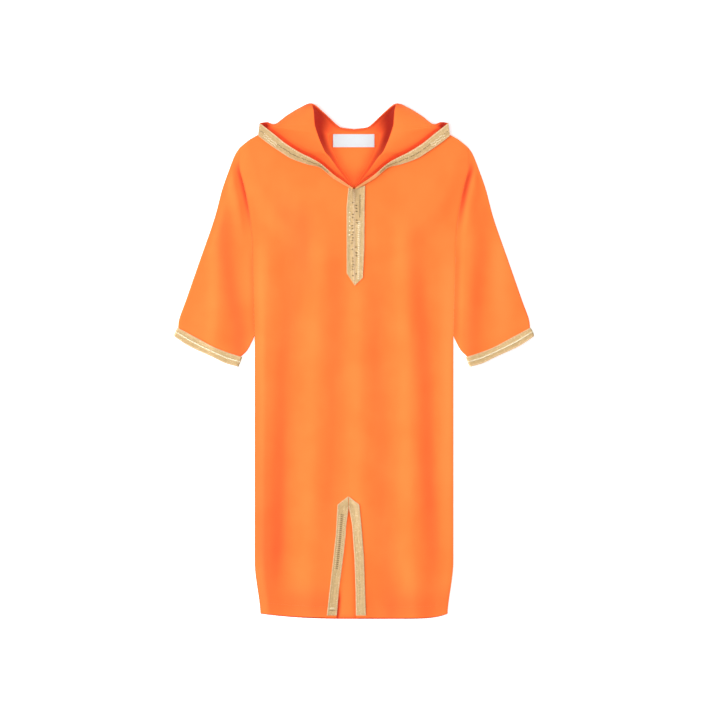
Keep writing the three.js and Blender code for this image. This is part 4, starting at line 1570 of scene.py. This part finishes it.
    def cuff_gold(self, side: Side) -> None:
        """Lay the twisted gold cord along the middle of one cuff's braid.

        Args:
            side: which cuff.
        """
        threads: list[Thread] = []
        for k in range(2 * self.tube.half):
            a, b = (self.band_point(side, 0.5, n, self.cord_out) for n in (k, k + 1))
            low, high = (self.band_point(side, w, k) for w in (0.5 - self.cord_half, 0.5 + self.cord_half))
            shift = [0.5 * (q - p) for p, q in zip(low, high)]
            steps = max(1, round(math.dist(a, b) / self.cord_step))
            for i in range(steps):
                start = [mix(p, q, i / steps) - d for p, q, d in zip(a, b, shift)]
                end = [mix(p, q, (i + self.cord_reach) / steps) + d for p, q, d in zip(a, b, shift)]
                start[2], end[2] = max(start[2], self.cord_radius), max(end[2], self.cord_radius)
                threads.append(Thread(tuple(start), tuple(end), self.cord_radius))
        dress(sew(f"cuff_gold_{side.word}", threads), self.finishes.gold, "braid")


@dataclass
class Hood:
    """The hood: two soft halves, the braid on their face edge, and the hidden folded pouch."""

    finishes: Finishes
    steps: int = 9
    inner: int = 20
    outer: int = 28
    turn: int = 5
    edge: int = 9
    pocket: Flat = (-147.5, 388.0)
    crisp: float = 80.0
    braid_columns: int = 16
    braid_rows: int = 150
    braid_long: float = 200.0
    thread_places: int = 74
    sparkle_from: float = 0.79
    sparkle_to: float = 0.93
    pouch_half: int = 90
    pouch_crisp: float = 40.0
    pouch_centre: Flat = (0.0, 330.0)

    def __post_init__(self) -> None:
        """Prepare the sections, first along the braided face edge and then round the fold."""
        face = [[c for point in row for c in point] for row in HOOD_FACE]
        fold = [[c for point in [*row, row[-1]] for c in point] for row in HOOD_FOLD]
        self.face_rows = self.dense(face)
        self.sections = self.face_rows + self.dense(fold)

    def dense(self, rows: Sequence[Sequence[float]]) -> list[list[float]]:
        """Sections between the table's rows, on a smooth curve."""
        count = (len(rows) - 1) * self.steps
        return [spline(rows, k / count) for k in range(count + 1)]

    def section_point(self, row: Sequence[float], k: int) -> tuple[float, float, float, float, float]:
        """One point of a section.

        Args:
            row: neck, crest, valley, lip and end of the section.
            k: number of the point across it.

        Returns:
            x, y, z, share up the inner side and share down the outer side.
        """
        neck, crest, valley, lip, end = (row[i : i + 3] for i in range(0, 15, 3))
        if k <= self.inner:
            t = 1 - k / self.inner
            z = mix(neck[2] - 0.7, crest[2], (1 - t) ** 1.35)
            return mix(crest[0], neck[0], t), mix(crest[1], neck[1], t), z, t, 0.0
        k -= self.inner
        if k <= self.outer:
            t = k / self.outer
            x, y = mix(crest[0], valley[0], t), mix(crest[1], valley[1], t)
            soft = 4 * t * (1 - t) * clamp01((crest[2] - 8) / 20)
            wave = (1.0 * grain(x, y, 30, 26, 2.2) + 0.5 * grain(x, y, 12, 14, 6.1)) * soft
            return x, y, mix(valley[2], crest[2], 1 - t**1.15) + wave, 0.0, t
        k -= self.outer
        if k <= self.turn:
            t = k / self.turn
            z = mix(valley[2], lip[2], t**1.3)
            return mix(valley[0], lip[0], t), mix(valley[1], lip[1], t), z, 0.0, 1.0
        t = (k - self.turn) / self.edge
        return mix(lip[0], end[0], t), mix(lip[1], end[1], t), mix(lip[2], end[2], t), 0.0, 1.0

    def half_cloth(self, side: Side) -> None:
        """Build one half of the hood.

        Args:
            side: which half.
        """
        last = len(self.sections) - 1
        face_last = len(self.face_rows) - 1
        columns = self.inner + self.outer + self.turn + self.edge

        def place(u: float, v: float) -> Point:
            """Put a point of the half in its place.

            Args:
                u: share across, from neck to free edge.
                v: share along the face edge and round the fold.

            Returns:
                x, y, z.
            """
            x, y, z, _, _ = self.section_point(self.sections[round(v * last)], round(u * columns))
            return side.value * -x, y, z

        def crease(u: float, v: float) -> float:
            """Paint shade on the inner side, in the valley behind the lip, at the neck's point, in the end's
            pocket and round the back of the fold.

            Args:
                u: share across, from neck to free edge.
                v: share along the face edge and round the fold.

            Returns:
                The painted shade, from 0 to 1.
            """
            number = round(v * last)
            row = self.sections[number]
            x, y, _, inside, outside = self.section_point(row, round(u * columns))
            along = min(1.0, number / face_last)
            behind = max(0.0, (number - face_last) / (last - face_last))
            # painted shade: deep on the inner wall under the crest, lighter round the fold
            if inside > 0:
                up_face = mix(0.42, 1.0, smooth((along - 0.15) / 0.8))
                round_fold = mix(1.0, 0.4, smooth((behind - 0.45) / 0.5))
                shade = up_face * round_fold * (1 - smooth((inside - 0.3) / 0.9))
            else:
                from_valley = (1 - outside) * math.dist(row[3:5], row[6:8])
                on_face = 1 - smooth(behind / 0.12)
                shade = on_face * (0.18 * bell(from_valley, 9) + 0.42 * bell(from_valley, 2.6))
                # painted shade over the outer rim round the back fold
                shade = max(shade, 0.34 * smooth((behind - 0.45) / 0.1))
            # painted shade at the neck's point and a painted shadow in the pocket at the braid's end
            point = 0.43 * (1 - smooth(along / 0.42)) * (1 - 0.55 * smooth(inside * 2))
            pocket = 1.2 * bell(math.dist((x, y), self.pocket), 9.0)
            return clamp01(max(shade, point, pocket))

        cloth = lay_grid(f"hood_cloth_{side.word}", columns, last, place, crease)
        weld(cloth)
        soften(cloth, 3)
        finish_sheet(cloth, CLOTH, self.crisp)
        dress(cloth, self.finishes.crepe, "crepe", f"hood_{side.word}")

    def edge_point(self, side: Side, w: float, v: float, out: float = 0.0) -> Point:
        """A point of the braid on the face edge.

        Args:
            side: which half.
            w: share of the braid's width, from the lip to the free edge.
            v: share along it, from the neck's point to its outer end.
            out: how far the point stands off the braid's face.

        Returns:
            x, y, z.
        """
        row = spline(self.face_rows, v)
        lip, end = row[9:12], row[12:15]
        bulge = 0.9 * math.sin(math.pi * w) * smooth(v * 3)
        cords = edge_cords(w, 0.22, 0.08) - 0.1 * bell(w - 0.5, 0.1)
        z = mix(lip[2], end[2], w) + TRIM_GAP + TRIM * 0.9 + bulge + cords + out
        return side.value * -mix(lip[0], end[0], w), mix(lip[1], end[1], w), z

    def face_braid(self, side: Side) -> None:
        """Build the braid on one half's face edge.

        Args:
            side: which half.
        """

        def place(u: float, v: float) -> Point:
            """Put a point of the braid in its place."""
            return self.edge_point(side, u, v)

        def tone(u: float, v: float) -> float:
            """Paint warm orange bounce light on the braid near the neck's point, and darken the rest a
            little.
            """
            return mix(-0.8, 0.1, smooth((v - 0.24) / 0.1))

        braid = lay_grid(
            f"hood_braid_{side.word}", self.braid_columns, self.braid_rows, place, tone, self.braid_long
        )
        weld(braid)
        finish_sheet(braid, BRAID)
        dress(braid, self.finishes.braid, "braid", f"hood_trim_{side.word}")

    def edge_thread(self, side: Side, start: Flat, step: Flat, out: float, radius: float) -> Thread:
        """A thread on the face braid, from a place across and along it, reaching a step further."""
        ends = (start, (start[0] + step[0], start[1] + step[1]))
        return Thread(*(self.edge_point(side, w, v, out) for w, v in ends), radius)

    def face_threads(self, side: Side) -> None:
        """Sew the dark broken middle line and the gold knots of one half's braid.

        Args:
            side: which half.
        """
        dark: list[Thread] = []
        gold: list[Thread] = []
        for k in range(self.thread_places):
            v = mix(0.3, 0.98, k / self.thread_places)
            wobble = grain(k * 1.7, side.value * 4.0, 3.0, 3.0, 5.2)
            if self.sparkle_from < v < self.sparkle_to:
                for at in (0.5, 0.7):
                    gold.append(self.edge_thread(side, (at + 0.12 * wobble, v), (0.1, 0.006), 0.25, 0.75))
            elif wobble > -0.28:
                dark.append(self.edge_thread(side, (0.5 + 0.13 * wobble, v), (0.05, 0.008), 0.15, 0.62))
            if k % 2 and v < 0.8:
                gold.append(self.edge_thread(side, (0.13, v), (0.0, 0.009), 0.12, 0.42))
        dress(sew(f"hood_threads_dark_{side.word}", dark), self.finishes.olive, "braid")
        dress(sew(f"hood_threads_gold_{side.word}", gold), self.finishes.gold, "braid")

    def pouch(self) -> None:
        """Build the hidden layers of the folded hood, seen only at their edges and from beneath."""
        left = [spline(LAYER_OUTLINE, k / self.pouch_half) for k in range(self.pouch_half + 1)]
        outline = left + [[-x, y] for x, y in reversed(left[:-1])]
        # Height of each ring and how far it lies inside the outline: two layers with a groove between them
        rings = [(0.0, 2.4), (0.05, 1.4), (0.3, 0.7), (0.6, 0.5), (0.95, 0.7), (1.15, 1.4), (1.2, 2.8)]
        rings += [(1.35, 3.0), (1.7, 2.7), (2.05, 2.9), (2.3, 3.6), (LAYERS, 4.8)]
        centre_x, centre_y = self.pouch_centre

        def place(u: float, v: float) -> Point:
            """Put a point of the pouch's edge in its place.

            Args:
                u: share round the outline.
                v: share up the rings.

            Returns:
                x, y, z.
            """
            x, y = outline[round(u * (len(outline) - 1))]
            z, inset = rings[round(v * (len(rings) - 1))]
            dx, dy = x - centre_x, y - centre_y
            shrink = 1 - inset / math.hypot(dx, dy)
            return centre_x + dx * shrink, centre_y + dy * shrink, z

        pouch = lay_grid("hood_pouch_cloth", len(outline) - 1, len(rings) - 1, place)
        weld(pouch, closed=True, fill=True)
        shade_smooth(pouch, self.pouch_crisp)
        dress(pouch, self.finishes.crepe, "crepe", "hood_layers")


class Strip(Enum):
    """The braids of the front's two slits: word, length in millimetres, faces along, joint's painted shade,
    tone.
    """

    PLACKET = ("placket", 150.0, 96, 0.7, 0.0)
    SLIT = ("slit", 198.0, 120, 0.12, 0.16)

    def __init__(self, word: str, length: float, rows: int, joint: float, tone: float) -> None:
        """Keep the braid's own values.

        Args:
            word: its name in piece names.
            length: its real length.
            rows: faces along it.
            joint: how much painted shade lies at the top of the joint of its halves.
            tone: how dark it is all over.
        """
        self.word = word
        self.length = length
        self.rows = rows
        self.joint = joint
        self.tone = tone


@dataclass(frozen=True)
class StitchRow:
    """A line of equal slanted stitches along a braid.

    It runs over a span of shares down the braid. Each stitch starts at a share across it, and its step is how
    far it reaches, as shares of the width and of the pitch. Pitch and radius are in millimetres.
    """

    strip: Strip
    side: Side
    span: Flat
    at: float
    step: Flat
    pitch: float
    radius: float


PALE_ROWS = (
    StitchRow(Strip.PLACKET, Side.LEFT, (0.02, 0.97), 0.1, (0.0, 0.7), 2.6, 0.4),
    StitchRow(Strip.PLACKET, Side.RIGHT, (0.2, 0.97), 0.9, (0.0, 0.7), 2.6, 0.4),
    StitchRow(Strip.SLIT, Side.LEFT, (0.07, 0.98), 0.1, (0.0, 0.7), 2.9, 0.36),
    StitchRow(Strip.SLIT, Side.LEFT, (0.07, 0.98), 0.9, (0.0, 0.7), 2.9, 0.36),
    StitchRow(Strip.SLIT, Side.RIGHT, (0.07, 0.98), 0.1, (0.0, 0.7), 2.9, 0.36),
    StitchRow(Strip.SLIT, Side.RIGHT, (0.07, 0.98), 0.9, (0.0, 0.7), 2.9, 0.36),
    StitchRow(Strip.SLIT, Side.LEFT, (0.16, 0.62), 0.2, (0.2, 0.4), 3.3, 0.62),
    StitchRow(Strip.SLIT, Side.LEFT, (0.165, 0.625), 0.62, (0.2, 0.4), 3.3, 0.62),
)
GOLD_ROWS = (
    StitchRow(Strip.PLACKET, Side.RIGHT, (0.36, 0.97), 0.32, (0.3, 0.45), 2.9, 0.8),
    StitchRow(Strip.PLACKET, Side.LEFT, (0.26, 0.56), 0.42, (0.06, 0.3), 7.4, 1.0),
)
DARK_ROWS = (
    StitchRow(Strip.PLACKET, Side.RIGHT, (0.08, 0.32), 0.46, (0.14, 0.5), 3.3, 0.4),
    StitchRow(Strip.PLACKET, Side.RIGHT, (0.09, 0.33), 0.6, (-0.14, 0.5), 3.3, 0.4),
    StitchRow(Strip.PLACKET, Side.RIGHT, (0.02, 0.28), 0.95, (0.0, 0.4), 3.3, 0.5),
    StitchRow(Strip.SLIT, Side.LEFT, (0.15, 0.61), 0.34, (0.3, 0.55), 3.3, 0.7),
    StitchRow(Strip.SLIT, Side.RIGHT, (0.67, 0.88), 0.46, (0.0, 0.3), 4.6, 0.42),
)


@dataclass
class FrontBraids:
    """The braid down the neck slit and the braid down the hem slit, with their threads."""

    lay: Lay
    finishes: Finishes
    lift: float = 1.35
    columns: int = 14
    thickness: float = 0.85
    stitch_out: float = 0.2
    loop_pitch: float = 3.3
    loop_radius: float = 0.34
    loop_end: float = 0.95
    # dark threads that paint the shadow in the placket joint's gaps
    gap_shadow_count: int = 26
    gap_shadow_top: float = 0.14
    gap_shadow_pitch: float = 0.031
    gap_shadow_out: float = 0.5
    gap_shadow_radius: float = 1.0
    cross_out: float = 0.25

    def placket_edges(self, side: Side, v: float) -> tuple[Flat, Flat]:
        """Both edges of one half of the placket braid.

        Args:
            side: which half.
            v: share down it.

        Returns:
            The outer and the inner edge's x and y.
        """
        top_y, corner_y = (286.0, 144.5) if side is Side.LEFT else (289.5, 137.5)
        inner_x = side.value * 0.2
        outer = (read_table(PLACKET_OUTER[side.word], 0, 1, v), mix(top_y, corner_y, v))
        return outer, (mix(inner_x, 1.2 + inner_x, v**3), mix(284.0, 124.7, v))

    def slit_edges(self, side: Side, v: float) -> tuple[Flat, Flat]:
        """Both edges of one half of the hem slit's braid, whose halves meet above the slit's apex.

        Args:
            side: which half.
            v: share down it.

        Returns:
            The outer and the inner edge's x and y.
        """
        first, last = SLIT_ROWS[0][0], SLIT_ROWS[-1][0]
        y = mix(first, last, v)
        outer_column, inner_column = (1, 2) if side is Side.LEFT else (4, 3)
        low_y = min(y, SLIT_APEX[1], mix(first - 12, SLIT_APEX[1], clamp01((first - y) / 13.7)))
        opened = smooth((SLIT_APEX[1] - low_y) / (SLIT_APEX[1] - SLIT_OPEN_Y)) ** 0.7
        straight = read_table(SLIT_ROWS, 0, inner_column, min(low_y, SLIT_OPEN_Y))
        apart = side.value * SEAM * (1 - smooth((first - y) / 20))
        outer = (read_table(SLIT_ROWS, 0, outer_column, y) + apart, y)
        return outer, (mix(SLIT_APEX[0] - side.value * -0.4, straight, opened), low_y)

    def point(self, strip: Strip, side: Side, u: float, v: float, out: float = 0.0) -> Point:
        """A point on a braid's face.

        Args:
            strip: which braid.
            side: which half.
            u: share across it, left to right.
            v: share down it.
            out: how far the point stands off the face.

        Returns:
            x, y, z.
        """
        edges = self.placket_edges if strip is Strip.PLACKET else self.slit_edges
        outer, inner = edges(side, v)
        (ax, ay), (bx, by) = (outer, inner) if side is Side.LEFT else (inner, outer)
        x, y = mix(ax, bx, u), mix(ay, by, u)
        cords = edge_cords(u, 0.2, 0.07) - 0.22 * bell(u - 0.5, 0.07)
        pucker = 0.12 * math.sin(y * 0.55 + side.value) * smooth(v * 8)
        return x, y, self.lay.front_top(x, y) + self.lift + cords + pucker + out

    def braid(self, strip: Strip, side: Side) -> None:
        """Build one half of a braid.

        Args:
            strip: which braid.
            side: which half.
        """
        inner = 1.0 if side is Side.LEFT else 0.0

        def place(u: float, v: float) -> Point:
            """Put a point of the braid in its place."""
            return self.point(strip, side, u, v)

        def tone(u: float, v: float) -> float:
            """Darken the braid all over, and paint shade at the top of the joint, next to the neck's point.
            """
            return strip.tone + strip.joint * bell(u - inner, 0.45) * (1 - smooth(v / 0.22))

        name = f"{strip.word}_braid_{side.word}"
        braid = lay_grid(name, self.columns, strip.rows, place, tone, strip.length)
        weld(braid)
        finish_sheet(braid, self.thickness)
        dress(braid, self.finishes.braid, "braid", f"{strip.word}_trim_{side.word}")

    def stitches(self, row: StitchRow) -> list[Thread]:
        """Sew one line of stitches.

        Args:
            row: the line.

        Returns:
            The threads.
        """
        length = row.strip.length
        threads: list[Thread] = []
        for k in range(round((row.span[1] - row.span[0]) * length / row.pitch)):
            v = row.span[0] + k * row.pitch / length
            ends = ((row.at, v), (row.at + row.step[0], v + row.step[1] * row.pitch / length))
            start, end = (self.point(row.strip, row.side, u, w, self.stitch_out) for u, w in ends)
            threads.append(Thread(start, end, row.radius))
        return threads

    def joint_loops(self) -> list[Thread]:
        """Lace loops over the joint of the placket braid's halves.

        Returns:
            The threads.
        """
        corners = [(-0.25, 0.12), (0.0, -0.03), (0.45, -0.04), (0.72, 0.1)]
        pitch = self.loop_pitch / Strip.PLACKET.length
        threads: list[Thread] = []
        for side, inner, inward, v in ((Side.LEFT, 1.0, -1, 0.04), (Side.RIGHT, 0.0, 1, 0.05)):
            while v < self.loop_end:
                points = [
                    self.point(Strip.PLACKET, side, inner + inward * d, v + pitch * s, self.stitch_out)
                    for s, d in corners
                ]
                threads += [Thread(a, b, self.loop_radius) for a, b in zip(points, points[1:])]
                v += pitch
        return threads

    def joint_gap_shadows(self) -> list[Thread]:
        """Painted shadow: dark olive threads that stand for the shade in the gaps between the lace loops,
        unevenly to the left and right of the joint.

        Returns:
            The threads.
        """
        threads: list[Thread] = []
        for k in range(self.gap_shadow_count):
            v = self.gap_shadow_top + k * self.gap_shadow_pitch
            uneven = grain(k * 0.9, 2.0, 1.0, 1.0, 2.7)
            side, inner, inward = (Side.RIGHT, 0.0, 1) if uneven > 0.05 else (Side.LEFT, 1.0, -1)
            u = inner + inward * (0.03 + 0.3 * abs(uneven))
            ends = ((u, v), (u + 0.2 * inward, v + 0.014 + 0.014 * abs(uneven)))
            start, end = (self.point(Strip.PLACKET, side, *place, self.gap_shadow_out) for place in ends)
            threads.append(Thread(start, end, self.gap_shadow_radius))
        return threads

    def cross_line(self, v: float, radius: float) -> Thread:
        """A thread straight across the left half of the hem slit's braid."""
        start, end = (self.point(Strip.SLIT, Side.LEFT, u, v, self.cross_out) for u in (0.14, 0.86))
        return Thread(start, end, radius)

    def build(self) -> None:
        """Build both braids and all their threads."""
        for side in Side:
            for strip in Strip:
                self.braid(strip, side)
        gold_lines = [self.cross_line(0.944, 0.55), self.cross_line(0.936, 0.45)]
        dark_lines = [self.cross_line(0.957, 0.45)]
        sets = (
            ("pale", self.joint_loops(), PALE_ROWS, [], self.finishes.cream),
            ("gold", [], GOLD_ROWS, gold_lines, self.finishes.gold),
            # the dark threads hold the braid's dark stitches and the painted shadows in the joint's gaps
            ("dark", self.joint_gap_shadows(), DARK_ROWS, dark_lines, self.finishes.olive),
        )
        for word, joint, rows, lines, finish in sets:
            sewn = [thread for row in rows for thread in self.stitches(row)]
            dress(sew(f"braid_{word}_threads", joint + sewn + lines), finish, "braid")


@dataclass
class NeckLabel:
    """The bare woven label inside the back neck."""

    finishes: Finishes
    left: float = -34.5
    right: float = 33.5
    top: float = 374.3
    bottom: float = 352.8
    raised: float = 0.6
    columns: int = 48
    rows: int = 18
    thickness: float = 0.45
    stitch_out: float = 0.1
    stitch_radius: float = 0.16

    def point(self, u: float, v: float, out: float = 0.0) -> Point:
        """A point on the label's face."""
        curl = 0.7 * (abs(2 * u - 1) ** 6) + 0.5 * v**3 + 0.15 * math.sin(9 * u + 1)
        z = LIFT + WALL + self.raised + curl + out
        return mix(self.left, self.right, u), mix(self.top, self.bottom, v), z

    def build(self) -> None:
        """Build the label and the stitches along its top and side edges."""
        label = lay_grid("label_cloth", self.columns, self.rows, self.point)
        weld(label)
        finish_sheet(label, self.thickness)
        dress(label, self.finishes.label, "label", "neck_label")
        top = [((u, 0.07), (u + 0.032, 0.07)) for u in (0.03 + k * 0.0485 for k in range(20))]
        sides = [((u, v), (u, v + 0.1)) for u in (0.022, 0.978) for v in (0.1 + k * 0.15 for k in range(6))]
        threads: list[Thread] = []
        for ends in top + sides:
            start, end = (self.point(u, v, self.stitch_out) for u, v in ends)
            threads.append(Thread(start, end, self.stitch_radius))
        dress(sew("label_stitching", threads), self.finishes.label, "label")


@dataclass
class Studio:
    """Floor, lights and the camera straight above."""

    frame_width: float = 1.17645
    centre: Flat = (0.0041, 0.0074)
    camera_height: float = 2.4
    floor_size: float = 8.0
    floor_drop: float = 0.0004
    world_strength: float = 0.45

    def light(self, name: str, place: Point, size: Flat, watts: float) -> None:
        """Add a soft white light that points at the garment.

        Args:
            name: its name.
            place: where it stands, in metres.
            size: width and height, in metres.
            watts: its power.
        """
        lamp = bpy.data.lights.new(name, "AREA")
        lamp.shape = "RECTANGLE"
        lamp.size, lamp.size_y = size
        lamp.energy = watts
        obj = bpy.data.objects.new(name, lamp)
        bpy.context.scene.collection.objects.link(obj)
        obj.location = place
        obj.rotation_euler = (-Vector(place)).to_track_quat("-Z", "Y").to_euler()

    def floor(self) -> None:
        """Lay the pale floor, a little aglow so that it stays white."""
        deselect()
        bpy.ops.mesh.primitive_plane_add(size=self.floor_size, location=(0, 0, -self.floor_drop))
        floor = bpy.context.object
        floor.name = "floor"
        white, _ = new_material("floor_white")
        values = {
            "Base Color": (0.9, 0.9, 0.9, 1),
            "Roughness": 0.9,
            "Specular IOR Level": 0.1,
            "Emission Color": (1, 1, 1, 1),
            "Emission Strength": 0.3,
        }
        for word, value in values.items():
            white.node_tree.nodes["Principled BSDF"].inputs[word].default_value = value
        floor.data.materials.append(white)

    def camera(self) -> None:
        """Hang the camera above the middle of the photograph's frame."""
        camera = bpy.data.cameras.new("camera")
        camera.type = "ORTHO"
        camera.ortho_scale = self.frame_width
        holder = bpy.data.objects.new("camera", camera)
        holder.location = (*self.centre, self.camera_height)
        bpy.context.scene.collection.objects.link(holder)
        bpy.context.scene.camera = holder

    def build(self) -> None:
        """Set the whole stage."""
        self.floor()
        self.light("key_left", (-3.4, 0.1, 1.65), (1.3, 3.0), 215)
        for side in Side:
            self.light(f"hood_side_{side.word}", (side.value * 2.0, 0.5, 1.7), (0.9, 1.6), 36)
        self.light("top_fill", (0.0, 0.0, 3.6), (3.2, 3.2), 80)
        world = bpy.data.worlds.new("studio")
        world.use_nodes = True
        background = world.node_tree.nodes["Background"]
        background.inputs["Color"].default_value = (1, 1, 1, 1)
        background.inputs["Strength"].default_value = self.world_strength
        bpy.context.scene.world = world
        bpy.context.scene.view_settings.view_transform = "Standard"
        self.camera()


def split_light() -> None:
    """Light the raised hood evenly from both sides, and everything else from the left."""
    raised = ("hood_cloth", "hood_braid", "hood_threads", "back_panel", "label")
    both, left = bpy.data.collections.new("hood_light"), bpy.data.collections.new("key_light")
    for obj in bpy.context.scene.objects:
        if obj.type == "MESH":
            (both if obj.name.startswith(raised) else left).objects.link(obj)
    for obj in bpy.context.scene.objects:
        if obj.type == "LIGHT" and obj.name != "top_fill":
            obj.light_linking.receiver_collection = left if obj.name == "key_left" else both


def main() -> None:
    """Build the garment piece by piece."""
    logging.basicConfig(level=logging.INFO, format="%(message)s")
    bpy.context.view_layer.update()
    Studio().build()
    lay, finishes = Lay(), make_finishes()
    panels = BodyPanels(lay, finishes)
    panels.back()
    panels.front()
    panels.hem_stitching()
    sleeves = Sleeves(lay, finishes)
    hood = Hood(finishes)
    for side in Side:
        sleeves.sleeve(side)
        sleeves.cuff_braid(side)
        sleeves.cuff_gold(side)
        hood.half_cloth(side)
        hood.face_braid(side)
        hood.face_threads(side)
    hood.pouch()
    FrontBraids(lay, finishes).build()
    NeckLabel(finishes).build()
    split_light()


if __name__ == "__main__":
    main()
